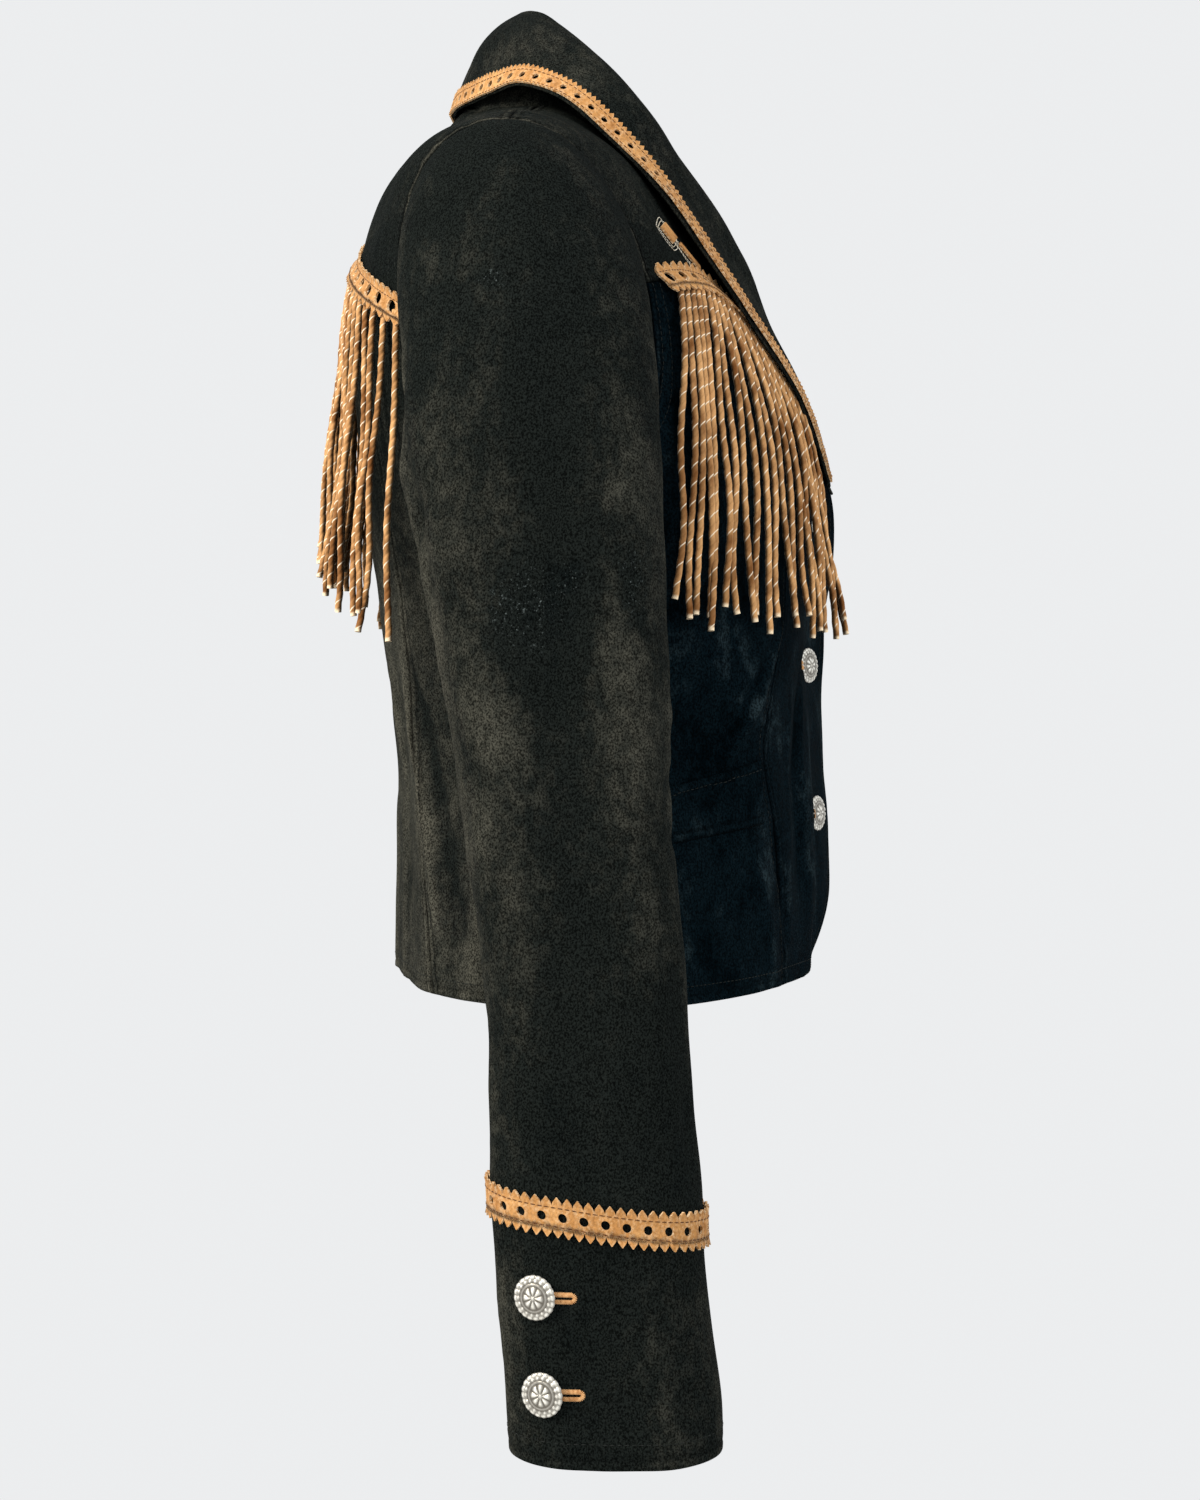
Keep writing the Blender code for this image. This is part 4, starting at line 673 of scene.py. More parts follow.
def bumped(shader, height, strength, distance):
    relief = add(shader.id_data, "ShaderNodeBump", {
        "Height": height, "Strength": strength, "Distance": distance})
    feed(shader, "Normal", relief.outputs[0])


def vectors(tree, operation, inputs, output=0):
    return add(tree, "ShaderNodeVectorMath", inputs, operation=operation).outputs[output]


def maths(tree, operation, *values):
    return add(tree, "ShaderNodeMath", dict(enumerate(values)), operation=operation).outputs[0]


def mixed(tree, share, colour_a, colour_b):
    """A colour share of the way from a to b."""
    a, b = (colour if isinstance(colour, bpy.types.NodeSocket) else (*colour, 1.0)
            for colour in (colour_a, colour_b))
    return add(tree, "ShaderNodeMix", {0: share, 6: a, 7: b}, data_type="RGBA").outputs[2]


def mapped(tree, value, low, high, to_low=0.0, to_high=1.0):
    return add(tree, "ShaderNodeMapRange", {
        "Value": value, "From Min": low, "From Max": high, "To Min": to_low, "To Max": to_high,
    }, interpolation_type="SMOOTHSTEP").outputs[0]


def attribute(tree, name, output="Fac"):
    return add(tree, "ShaderNodeAttribute", attribute_name=name).outputs[output]


# %% The nap, as a group
FLOAT, COLOUR, GEOMETRY = "NodeSocketFloat", "NodeSocketColor", "NodeSocketGeometry"
nap, nap_in, nap_out = new_group(
    "suede_nap", "ShaderNodeTree",
    [("Fibre size", FLOAT, 0.0005), ("Clump size", FLOAT, 0.004), ("Patch size", FLOAT, 0.05)],
    [("Fibres", FLOAT), ("Clumps", FLOAT), ("Patches", FLOAT), ("Height", FLOAT)],
)
nap_place = add(nap, "ShaderNodeTexCoord").outputs["Object"]
nap_layers = {}
for layer, detail, stretch, warp in (("Fibre", 2.0, 0.8, 0.0), ("Clump", 3.0, 0.8, 0.3),
                                     ("Patch", 2.6, 0.62, 0.7)):
    place = vectors(nap, "MULTIPLY", {0: nap_place, 1: (1.0, 1.0, stretch)})
    scale = maths(nap, "DIVIDE", 1.0, nap_in[f"{layer} size"])
    nap_layers[layer] = add(nap, "ShaderNodeTexNoise", {
        "Vector": place, "Scale": scale, "Detail": detail, "Roughness": 0.6, "Distortion": warp,
    }).outputs[0]
nap.links.new(mapped(nap, nap_layers["Fibre"], 0.3, 0.7), nap_out["Fibres"])
nap.links.new(mapped(nap, nap_layers["Clump"], 0.32, 0.68), nap_out["Clumps"])
nap.links.new(mapped(nap, nap_layers["Patch"], 0.3, 0.7), nap_out["Patches"])
nap.links.new(maths(nap, "MULTIPLY_ADD", nap_layers["Clump"], 1.6, nap_layers["Fibre"]),
              nap_out["Height"])
print("group", nap.name, "puts out", [socket.name for socket in nap_out if socket.name])


# %% A group for pale cut edges and rubbed spots
worn, worn_in, worn_out = new_group(
    "rubbed_places", "ShaderNodeTree",
    [("Colour", COLOUR, None), ("Pale", COLOUR, None), ("Mask", FLOAT, 0.0),
     ("Breakup size", FLOAT, 0.0014), ("Sparseness", FLOAT, 0.0)],
    [("Colour", COLOUR)],
)
worn_noise = add(worn, "ShaderNodeTexNoise", {
    "Vector": add(worn, "ShaderNodeTexCoord").outputs["Object"], "Detail": 4.0,
    "Scale": maths(worn, "DIVIDE", 1.0, worn_in["Breakup size"]), "Roughness": 0.65,
}).outputs[0]
worn_noise = maths(worn, "SUBTRACT", worn_noise, worn_in["Sparseness"])
worn_share = maths(worn, "MULTIPLY", worn_in["Mask"],
                   mapped(worn, worn_noise, 0.42, 0.62))
worn.links.new(mixed(worn, worn_share, (0, 0, 0), (1, 1, 1)), worn_out[0])
worn_mix = worn_out[0].links[0].from_node
worn.links.new(worn_in["Colour"], worn_mix.inputs[6])
worn.links.new(worn_in["Pale"], worn_mix.inputs[7])

# %% [markdown]
# ## Suede, thread and metal
#
# Black suede drinks light. Where its nap lies flat it is blue-black, and where it is
# brushed up it is brown and paler. A number kept on each point, the tone, says how light
# the colour is there: partly how far the nap is brushed, partly painted light and shade,
# with painted highlights on ridges, beside seams, along the sleeves' edges and over the
# back panels, and painted shade in troughs and under the fringe. The nap group adds its
# grain. A second number, "seam", paints shade into seams and stitch grooves, and the laid
# suede, a darker and bluer copy of the black, is painted shade for the panels that face
# away from the warm lamp. The tan suede is paler at each cut edge, where the knife has
# opened it.

# %% Materials
def new_material(name, roughness, sheen=0.0, sheen_tint=(1, 1, 1), metallic=0.0):
    made = bpy.data.materials.new(name)
    made.use_nodes = True
    shader = made.node_tree.nodes["Principled BSDF"]
    for label, value in {"Roughness": roughness, "Metallic": metallic,
                         "Specular IOR Level": 0.5 if metallic else 0.01,
                         "Sheen Weight": sheen, "Sheen Roughness": 0.45,
                         "Sheen Tint": (*sheen_tint, 1.0)}.items():
        shader.inputs[label].default_value = value
    return made, made.node_tree, shader


def suede_material(name, flat, middle, brushed, pale, sizes, shares, sheen, sheen_tint,
                   bump=0.0006, sparseness=0.0):
    """Suede whose nap goes through three colours from laid flat to brushed up, as its
    clumps, its patches and its tone say, with a grain of fibres over it. The tone is
    partly nap and partly painted light and shade. The "seam" value paints shade into
    seams and stitch grooves, and where it is negative it lightens a rubbed free edge. It
    is rubbed pale where "edge" says."""
    made, tree, shader = new_material(name, 0.95, sheen, sheen_tint)
    look = in_group(tree, nap, dict(zip(("Fibre size", "Clump size", "Patch size"), sizes)))
    grain, clumps, patches = shares
    # The tone: nap brushed up, plus painted highlights and painted shade.
    brush = maths(tree, "ADD", attribute(tree, "nap_and_painted_light"), 0.5 - (clumps + patches) / 2)
    brush = maths(tree, "MULTIPLY_ADD", look["Clumps"], clumps, brush)
    brush = maths(tree, "MULTIPLY_ADD", look["Patches"], patches, brush)
    colour = mixed(tree, mapped(tree, brush, 0.0, 0.5), flat, middle)
    colour = mixed(tree, mapped(tree, brush, 0.5, 1.1), colour, brushed)
    # Painted shade from the "seam" value; where it is negative, a paler rubbed edge.
    light = maths(tree, "MULTIPLY_ADD", attribute(tree, "seam"), -0.85, 1.0)
    light = maths(tree, "MULTIPLY", light,
                  mapped(tree, look["Fibres"], 0.0, 1.0, 1.0 - grain, 1.0 + grain))
    colour = vectors(tree, "SCALE", {0: colour, "Scale": light})
    rubbed = in_group(tree, worn, {"Colour": colour, "Pale": (*pale, 1.0),
                                   "Mask": attribute(tree, "edge"), "Sparseness": sparseness})
    feed(shader, "Base Color", rubbed[0])
    feed(shader, "Roughness", mapped(tree, look["Clumps"], 0, 1, 0.86, 1.0))
    bumped(shader, look["Height"], 0.55, bump)
    return made


black_suede = suede_material(
    "black_suede", (0.0008, 0.002, 0.0025), (0.0066, 0.0082, 0.0074), (0.056, 0.054, 0.042),
    (0.18, 0.215, 0.21), (0.0008, 0.0055, 0.04), (0.7, 0.13, 0.17), 0.0,
    (0.8, 0.84, 0.78), 0.0006, 0.155)
# A darker, bluer copy of the black suede: painted shade for the panels that face away from the warm
# lamp.
laid_suede_painted_shade = suede_material(
    "laid_suede_painted_shade", (0.0001, 0.0014, 0.0022), (0.0019, 0.005, 0.007), (0.015, 0.025, 0.029),
    (0.05, 0.06, 0.06), (0.001, 0.006, 0.03), (0.6, 0.28, 0.5), 0.0,
    (0.7, 0.84, 0.9))
tan_suede = suede_material(
    "tan_suede", (0.27, 0.108, 0.029), (0.43, 0.205, 0.067), (0.61, 0.33, 0.125),
    (0.86, 0.63, 0.39), (0.001, 0.004, 0.022), (0.13, 0.3, 0.46), 0.15,
    (0.95, 0.75, 0.5), 0.0004)


def thread_material(name, dark, light, sheen=0.15):
    made, tree, shader = new_material(name, 0.75, sheen)
    look = in_group(tree, nap, {"Clump size": 0.0018})
    feed(shader, "Base Color", mixed(tree, look["Clumps"], dark, light))
    return made


black_thread = thread_material("black_thread", (0.009, 0.011, 0.01), (0.025, 0.027, 0.025), 0.02)
brown_thread = thread_material("brown_thread", (0.06, 0.022, 0.008), (0.15, 0.062, 0.022))
tan_thread = thread_material("tan_thread", (0.42, 0.2, 0.075), (0.66, 0.38, 0.17))
pale_thread = thread_material("pale_thread", (0.62, 0.53, 0.38), (0.86, 0.8, 0.66))

# %% Twisted cord: a pale line winds round it, found from the angle and the length
cord_suede, tree, shader = new_material("cord_suede", 0.9, 0.25, (0.95, 0.78, 0.55))
CORD_TURN = 0.0094  # length over which the pale edge of the twisted strip goes round once
around = add(tree, "ShaderNodeSeparateXYZ", {0: attribute(tree, "around", "Vector")})
turn = maths(tree, "DIVIDE", maths(tree, "ARCTAN2", around.outputs[1], around.outputs[0]),
             math.tau)
turn = maths(tree, "SUBTRACT", turn, maths(tree, "DIVIDE", attribute(tree, "along"), CORD_TURN))
from_line = maths(tree, "ABSOLUTE", maths(tree, "SUBTRACT", maths(tree, "FRACT", turn), 0.5))
look = in_group(tree, nap, {"Patch size": 0.018})
base = mixed(tree, look["Patches"], (0.165, 0.062, 0.017), (0.6, 0.325, 0.135))
base = mixed(tree, mapped(tree, from_line, 0.026, 0.058, 0.78, 0.0), base, (0.92, 0.79, 0.6))
# Painted shade: a dark band in the groove of the twist, opposite the pale line.
base = mixed(tree, mapped(tree, from_line, 0.4, 0.5, 0.0, 0.2), base, (0.12, 0.042, 0.014))
cut = mapped(tree, attribute(tree, "share"), 0.985, 0.996)
base = mixed(tree, cut, base, (0.86, 0.68, 0.46))
# Light hardly reaches the sides of a cord that turn away from the open air.
place = add(tree, "ShaderNodeTexCoord").outputs
out = vectors(tree, "MULTIPLY_ADD", {
    0: place["Object"], 1: (1.0, 1.0, 0.0), 2: (0.0, 0.02, 0.0)})
out = vectors(tree, "NORMALIZE", {0: out})
open_air = vectors(tree, "DOT_PRODUCT", {0: out, 1: place["Normal"]}, "Value")
feed(shader, "Base Color", vectors(tree, "SCALE", {
    0: base, "Scale": mapped(tree, open_air, -0.1, 0.85, 0.16, 1.12)}))
bumped(shader, mapped(tree, from_line, 0.3, 0.5, 1.0, 0.0), 0.7, 0.0005)

# %% Antique silver, dark where polish doesn't reach
button_silver, tree, shader = new_material("button_silver", 0.38, metallic=0.62)
look = in_group(tree, nap, {"Clump size": 0.0012})
metal = mixed(tree, look["Clumps"], (0.8, 0.77, 0.68), (0.96, 0.94, 0.87))
metal = mixed(tree, attribute(tree, "recess"), metal, (0.12, 0.106, 0.086))
feed(shader, "Base Color", metal)
feed(shader, "Roughness", mapped(tree, look["Clumps"], 0, 1, 0.26, 0.5))
print(len(bpy.data.materials), "materials so far")

# %% [markdown]
# ## Light and floor
#
# A photographer's studio: pale walls all round, a pale floor, one broad warm lamp from
# the back of the jacket and a weaker cool one from its front.

# %% Studio
world = bpy.data.worlds.new("studio")
world.use_nodes = True
world.node_tree.nodes["Background"].inputs["Color"].default_value = (0.84, 0.85, 0.86, 1.0)
bpy.context.scene.world = world


def add_lamp(name, place, size, power, colour):
    lamp_data = bpy.data.lights.new(name, "AREA")
    lamp_data.shape, lamp_data.size = "DISK", size
    lamp_data.energy, lamp_data.color = power, colour
    lamp = put_in_scene(name, lamp_data)
    lamp.location = place
    to_jacket = Vector((0.0, 0.0, -0.3)) - lamp.location
    lamp.rotation_euler = to_jacket.to_track_quat("-Z", "Y").to_euler()


add_lamp("warm_lamp", (-1.5, 1.9, 0.9), 1.2, 70.0, (1.0, 0.95, 0.87))
add_lamp("cool_lamp", (-1.3, -2.1, 0.5), 1.4, 14.0, (0.9, 0.95, 1.0))
add_lamp("top_lamp", (-0.6, 0.2, 2.2), 1.6, 22.0, (1.0, 0.99, 0.97))

floor_mesh = bpy.data.meshes.new("studio_floor")
bm = bmesh.new()
bmesh.ops.create_circle(bm, cap_ends=True, segments=96, radius=1.3)
for vertex in bm.verts:
    vertex.co.z = -1.3
bm.to_mesh(floor_mesh)
bm.free()
floor = put_in_scene("studio_floor", floor_mesh)
floor_finish, tree, shader = new_material("pale_floor", 0.8)
floor_noise = add(tree, "ShaderNodeTexNoise", {"Scale": 6.0, "Detail": 3.0})
feed(shader, "Base Color",
     mixed(tree, floor_noise.outputs[0], (0.62, 0.62, 0.61), (0.65, 0.65, 0.64)))
floor_mesh.materials.append(floor_finish)

# %% [markdown]
# ## From a surface to cloth
#
# A panel of suede is a wall about 1.6 mm thick. Here it is two sheets of points, the
# outer and the inner face, that share their border. Near a seam both faces roll
# down towards it, and the cloth puckers a little between stitches. The grid is closer
# by the borders, where it has to carry that roll.

# %% Grids
CLOTH_PITCH = 0.0037
BORDER_MARKS = np.array([0.0, 0.0004, 0.001, 0.0019, 0.0028, 0.0037, 0.0045, 0.0053, 0.0075])


def run_lengths(points, axis):
    """Length run along one axis of a grid of points."""
    steps = np.linalg.norm(np.diff(points, axis=axis), axis=-1)
    start = np.zeros_like(np.take(steps, [0], axis=axis))
    return np.concatenate([start, np.cumsum(steps, axis=axis)], axis=axis)


def grid_lines(length):
    """Where grid lines cross a length: closer together by both ends."""
    marks = BORDER_MARKS * min(1.0, length / (2.6 * BORDER_MARKS[-1]))
    count = max(2, int(round((length - 2 * marks[-1]) / CLOTH_PITCH)))
    middle = np.linspace(marks[-1], length - marks[-1], count + 1)
    return np.concatenate([marks[:-1], middle, length - marks[-2::-1]]) / length


def read_between(grid, rows, columns):
    """Values of a grid between its own points."""
    r0 = np.minimum(rows.astype(int), grid.shape[0] - 2)
    c0 = np.minimum(columns.astype(int), grid.shape[1] - 2)
    r, c = rows - r0, columns - c0
    corner = lambda i, j: grid[r0 + i, c0 + j]
    return ((corner(0, 0) * (1 - c) + corner(0, 1) * c) * (1 - r)
            + (corner(1, 0) * (1 - c) + corner(1, 1) * c) * r)


def refined(surface, a, b):
    """The same patch of a surface on cloth-sized squares."""
    points = surface(a, b)
    places = []
    for axis in (0, 1):
        run = run_lengths(points, axis)
        mean = run.mean(axis=1 - axis)
        longest = float(run.max())
        places.append(np.interp(grid_lines(longest), mean / mean[-1], np.arange(len(mean))))
    places = places[0][:, None], places[1][None]
    return read_between(a, *places), read_between(b, *places)


def on_surface(surface, a, b, out=0.0, side=1):
    """Points and normals of a grid on a surface."""
    points = lifted(surface, a, b, out)
    normals = unit(lifted(surface, a, b, np.asarray(out) + 1e-3) - points)
    return mirrored(points, side), mirrored(normals, side)


def mirrored(points, side):
    return points * np.array([side, 1.0, 1.0])


# %% Sheets with rolled edges
# depth and width of the roll, height of the puckers, painted shade in the seam (below
# zero, a paler rubbed edge) and in the groove of its stitch line, and a painted highlight
# on the ridge beside it
EDGE_KINDS = {
    "armhole": (0.0016, 0.0036, 0.00036, 1.1, 0.90, 0.30),
    "seam": (0.0013, 0.0030, 0.00032, 0.65, 0.60, 0.08),
    "quiet": (0.0011, 0.0020, 0.00010, 0.6, 0.0, 0.0),
    "free": (0.0008, 0.0011, 0.00012, -0.15, 0.35, 0.05),
}
LIP = 0.001  # width over which the inner face turns up to the edge
STITCH_LINE = 0.0045  # how far the topstitching lies from a seam


def waves(values, lengths, seed):
    """An uneven line: a few sine waves of the given lengths."""
    draw = np.random.default_rng(seed)
    phases = draw.uniform(0, math.tau, len(lengths))
    return sum(np.sin(values * (math.tau / length) + phase)
               for length, phase in zip(lengths, phases)) / len(lengths)


def unevenness(points):
    """Slow rise and fall over the whole jacket, under half a millimetre. Cloths that
    meet at a seam rise and fall together, because it depends on the place alone."""
    draw = np.random.default_rng(17)
    total = np.zeros(points.shape[:-1])
    for length in (0.026, 0.034, 0.047, 0.062, 0.083):
        way = unit(draw.normal(size=3))
        total += length * np.sin(points @ way * (math.tau / length)
                                 + draw.uniform(0, math.tau)
                                 + 1.3 * np.sin(points @ np.roll(way, 1) * (2.6 / length)))
    return total * 0.0042


def new_mesh_object(name, vertices, faces, material):
    mesh = bpy.data.meshes.new(name)
    mesh.from_pydata(np.asarray(vertices).tolist(), [], faces)
    mesh.materials.append(material)
    bm = bmesh.new()
    bm.from_mesh(mesh)
    bmesh.ops.recalc_face_normals(bm, faces=bm.faces)
    bm.to_mesh(mesh)
    bm.free()
    mesh.shade_smooth()
    return put_in_scene(name, mesh)


def paint(piece, name, values, domain="POINT"):
    """Keeps one value for each vertex or face corner, for the material to read."""
    layer = piece.data.attributes.new(name, "FLOAT", domain)
    layer.data.foreach_set("value", np.asarray(values, dtype=np.float32))


def paint_both(piece, name, grid):
    """The same for the outer and inner face of a cloth, from a grid of values."""
    paint(piece, name, np.concatenate([grid.ravel(), grid[1:-1, 1:-1].ravel()]))


def vertices_of(mesh):
    xyz = np.empty(len(mesh.vertices) * 3)
    mesh.vertices.foreach_get("co", xyz)
    return xyz.reshape(-1, 3)


def two_sided(name, outer, inner, material):
    """A closed cloth from two grids of points that meet along their border."""
    rows, columns = outer.shape[:2]
    index = np.arange(rows * columns).reshape(rows, columns)
    inside = index[1:-1, 1:-1].ravel()
    under = index.copy()
    under[1:-1, 1:-1] = rows * columns + np.arange(len(inside)).reshape(rows - 2, columns - 2)
    faces = []
    for grid, flip in ((index, False), (under, True)):
        quads = np.stack([grid[:-1, :-1], grid[:-1, 1:], grid[1:, 1:], grid[1:, :-1]], -1)
        quads = quads.reshape(-1, 4)
        faces += (quads[:, ::-1] if flip else quads).tolist()
    points = np.vstack([outer.reshape(-1, 3), inner.reshape(-1, 3)[inside]])
    return new_mesh_object(name, points, faces, material)


def rounded(share):
    """Depth of a quarter circle, 1 at share 0 and 0 from share 1 on."""
    return 1 - np.sqrt(1 - np.clip(1 - share, 0, 1) ** 2)


def cloth_shell(name, points, normals, edges, nap_and_painted_light=0.0, finish=None):
    """A panel: its outer face is the grid of points, worn down and puckered by edges,
    which says what its left, right, low and top borders are. The tone is how much lighter
    than usual its colour is, from its nap and from painted light and shade. Each border
    adds painted shade in its seam and stitch groove and a painted highlight beside it."""
    along, up = run_lengths(points, 1), run_lengths(points, 0)
    borders = {"left": (along, up[:, :1]), "right": (along[:, -1:] - along, up[:, -1:]),
               "low": (up, along[:1]), "top": (up[-1:] - up, along[-1:])}
    seed = sum(map(ord, name.replace("left", "side").replace("right", "side_")))
    shape = points.shape[:2]
    drop, rise, dark, nap_and_painted_light = (start + np.zeros(shape) for start in (0.0, 0.0, 0.0, nap_and_painted_light))
    relief = unevenness(points)
    for count, (where, (apart, run)) in enumerate(borders.items()):
        if where not in edges:
            continue
        depth, width, pucker, deep, stitch_groove_shade, beside = EDGE_KINDS[edges[where]]
        drop = np.maximum(drop, depth * rounded(apart / width))
        rise = np.maximum(rise, (SUEDE - depth) * rounded(apart / LIP))
        gather = waves(run, (0.0085, 0.0127, 0.0193, 0.031), seed + count)
        gather = gather * np.minimum(1, apart / 0.003) * np.exp(-((apart - 0.004) / 0.006) ** 2)
        groove = np.exp(-((apart - STITCH_LINE) / 0.0007) ** 2)
        relief = relief + 2.2 * pucker * gather - 0.0003 * groove * (stitch_groove_shade > 0)
        # Painted shade in the seam and in the groove of its stitch line; a free edge is rubbed
        # paler.
        dark = np.maximum(dark, deep * np.exp(-(apart / 0.0016) ** 2) + stitch_groove_shade * groove)
        # Painted highlight on the ridge beside the seam.
        nap_and_painted_light = nap_and_painted_light + beside * np.exp(-((apart - 0.0029) / 0.0014) ** 2)
    outer = points + normals * (relief - drop)[..., None]
    inner = points + normals * (relief - SUEDE + rise)[..., None]
    rim = np.ones(shape, bool)
    rim[1:-1, 1:-1] = False
    inner[rim] = outer[rim] = points[rim] + normals[rim] * (relief - drop)[rim][:, None]
    piece = two_sided(name, outer, inner, finish or black_suede)
    paint_both(piece, "nap_and_painted_light", nap_and_painted_light)
    paint_both(piece, "seam", dark)
    return piece


# %% [markdown]
# ## Panels below the yoke
#
# Each front is two panels with a princess seam between, and the back has two such
# seams. A panel's rows run level below the underarm. Above it they are stretched, so
# that the last row is the yoke seam.

# %% Grid of a panel between two seams
ROWS_ARM = ARM_V_MIDDLE - ARM_V_HALF * np.cos(np.radians(np.linspace(0, 84, 22)))
ROWS_UNDER_YOKE = np.concatenate([0.56 * np.linspace(0, 1, 60)[:-1] ** 1.35, ROWS_ARM])


def height_under_yoke(row_v, theta, back):
    """Stretches the rows above the underarm so that the last one is the yoke seam."""
    share = np.clip((row_v - ARM_V_LOW) / (ROWS_ARM[-1] - ARM_V_LOW), 0, None)
    return np.where(row_v <= ARM_V_LOW, row_v,
                    ARM_V_LOW + share * (yoke_line(theta, back) - ARM_V_LOW))


def panel_grid(from_edge, to_edge, back, columns=30):
    """theta and v of a panel below the yoke, between two seam lines."""
    ends = []
    for edge in (from_edge, to_edge):
        theta = edge(ROWS_UNDER_YOKE)
        for _ in range(8):
            theta = edge(height_under_yoke(ROWS_UNDER_YOKE, theta, back))
        ends.append(theta[:, None])
    theta = ends[0] + (ends[1] - ends[0]) * np.linspace(0, 1, columns)
    return theta, height_under_yoke(ROWS_UNDER_YOKE[:, None] + 0 * theta, theta, back)


NECK_LINE = neck_seam(np.linspace(1.0, 0.3, 160))
EDGE_V = np.linspace(0.0, 0.62, 500)
EDGE_THETA = front_edge(EDGE_V)


def free_front_edge(v):
    """The front's free edge, with the neck edge above the break."""
    return np.where(v <= NECK_LINE[1][0], np.interp(v, EDGE_V, EDGE_THETA),
                    np.interp(v, NECK_LINE[1], NECK_LINE[0]))


def princess(v, back=False):
    table = PRINCESS_BACK if back else PRINCESS_FRONT
    return np.radians(smooth_through(PRINCESS_V, table, v))


# %% Fronts, sides and back
def panel(name, theta, v, side, edges, level=None, nap_and_painted_light=0.0, finish=None):
    theta, v = refined(body, theta, v)
    out = 0.0 if level is None else level(theta, v, side)
    points, normals = on_surface(body, theta, v, out, side)
    creased = to_right_seam(body_creases, theta, v)
    # Painted light and shade: lighter on crease and fold ridges, darker in their troughs, and a
    # painted shadow under the fringe from the ribs up, below v 0.8.
    nap_and_painted_light = (nap_and_painted_light + 80.0 * creased + 17.0 * body_folds(theta, v)
            - 0.14 * ease((v - 0.4) / 0.16) * (v < 0.8))
    piece = cloth_shell(name, points, normals, edges, nap_and_painted_light, finish)
    print(name, len(piece.data.polygons), "faces")


SEAMED = {"left": "seam", "right": "seam", "low": "free", "top": "quiet"}
# The laid suede is painted shade on the panels that face away from the warm lamp; the side backs
# are painted lighter, on the side that it lights.
for side, tag in SIDES:
    panel(f"front_panel_{tag}", *panel_grid(free_front_edge, princess, False), side,
          {**SEAMED, "left": "free"}, front_lift, 0.01, laid_suede_painted_shade)
    panel(f"side_front_panel_{tag}", *panel_grid(princess, lambda h: side_edge(h, False), False),
          side, {**SEAMED, "right": "armhole"}, nap_and_painted_light=-0.03, finish=laid_suede_painted_shade)
    panel(f"side_back_panel_{tag}", *panel_grid(lambda h: side_edge(h, True),
                                                lambda h: princess(h, True), True), side,
          {**SEAMED, "left": "armhole"}, nap_and_painted_light=0.2)


def joined_halves(theta, v):
    """A grid of the left half made whole: theta is counted on past the centre back."""
    return (np.hstack([theta, math.tau - theta[:, -2::-1]]), np.hstack([v, v[:, -2::-1]]))


# The back is painted lighter still, where the warm lamp falls.
theta, v = panel_grid(lambda h: princess(h, True), lambda h: math.pi + 0 * h, True)
panel("back_panel", *joined_halves(theta, v), 1, SEAMED, nap_and_painted_light=0.28)

# %% [markdown]
# ## Yokes
#
# A western yoke is a second layer over the shoulders. Its four borders are curves, so
# its inside is a Coons patch, which blends four curves into one fair surface.

# %% Yokes
def coons(bottom, top, left, right):
    """Patch between four border lines of (theta, v), as theta and v grids."""
    s = np.linspace(0, 1, len(bottom))[None, :, None]
    r = np.linspace(0, 1, len(left))[:, None, None]
    patch = (bottom[None] * (1 - r) + top[None] * r + left[:, None] * (1 - s) + right[:, None] * s
             - (bottom[0] * (1 - s) * (1 - r) + bottom[-1] * s * (1 - r)
                + top[0] * (1 - s) * r + top[-1] * s * r))
    return patch[..., 0], patch[..., 1]


def border(theta, v):
    return np.stack(np.broadcast_arrays(theta, v), axis=-1)


def arm_from_yoke(count, back):
    """The armhole line from the yoke seam up to the shoulder point."""
    angles = np.linspace(math.radians(2.0), math.radians(120.0), 400)
    theta, v = armhole(-angles if back else angles)
    start = angles[int(np.argmin(np.abs(v - yoke_line(theta, back))))]
    angles = np.linspace(start, 0.0, count)
    return border(*armhole(-angles if back else angles))


def yoke_seam(start, end, count, back):
    theta = np.linspace(start[0], end[0], count)
    line = border(theta, yoke_line(theta, back))
    line[0], line[-1] = start, end
    return line


YOKE_ROWS, YOKE_COLUMNS = 26, 30
YOKED = {"left": "quiet", "right": "armhole", "low": "quiet", "top": "seam"}
t_line = np.linspace(1.0, 0.3, 400)
crossing = t_line[int(np.argmin(np.abs(neck_seam(t_line)[1] - yoke_line(neck_seam(t_line)[0]))))]
left = border(*neck_seam(np.linspace(crossing, 0.3, YOKE_ROWS)))
right = arm_from_yoke(YOKE_ROWS, False)
shoulder = border(math.pi / 2, np.linspace(1.0, ARM_V_TOP, YOKE_COLUMNS))
front_yoke_grid = coons(yoke_seam(left[0], right[0], YOKE_COLUMNS, False), shoulder, left, right)
for side, tag in SIDES:
    panel(f"front_yoke_panel_{tag}", *front_yoke_grid, side, YOKED, front_lift, 0.05)

right = arm_from_yoke(YOKE_ROWS, True)
nape = border(*neck_seam(np.linspace(0.0, 0.3, YOKE_COLUMNS // 2)))
top = np.vstack([nape, shoulder[1:]])
centre = border(math.pi, np.linspace(float(yoke_line(math.pi, True)), 1.0, YOKE_ROWS))
theta, v = coons(yoke_seam(centre[0], right[0], len(top), True), top, centre, right)
panel("back_yoke_panel", *joined_halves(theta[:, ::-1], v[:, ::-1]), 1,
      {**YOKED, "left": "armhole"}, nap_and_painted_light=0.05)

# %% [markdown]
# ## Sleeves
#
# The over sleeve is the wide piece that shows. The under sleeve closes the tube
# behind the arm. Along the back of the arm and at its front edge the colour is painted
# lighter, a painted sheen at the sleeve's edges, and a few small spots on its outer side
# are rubbed chalky.

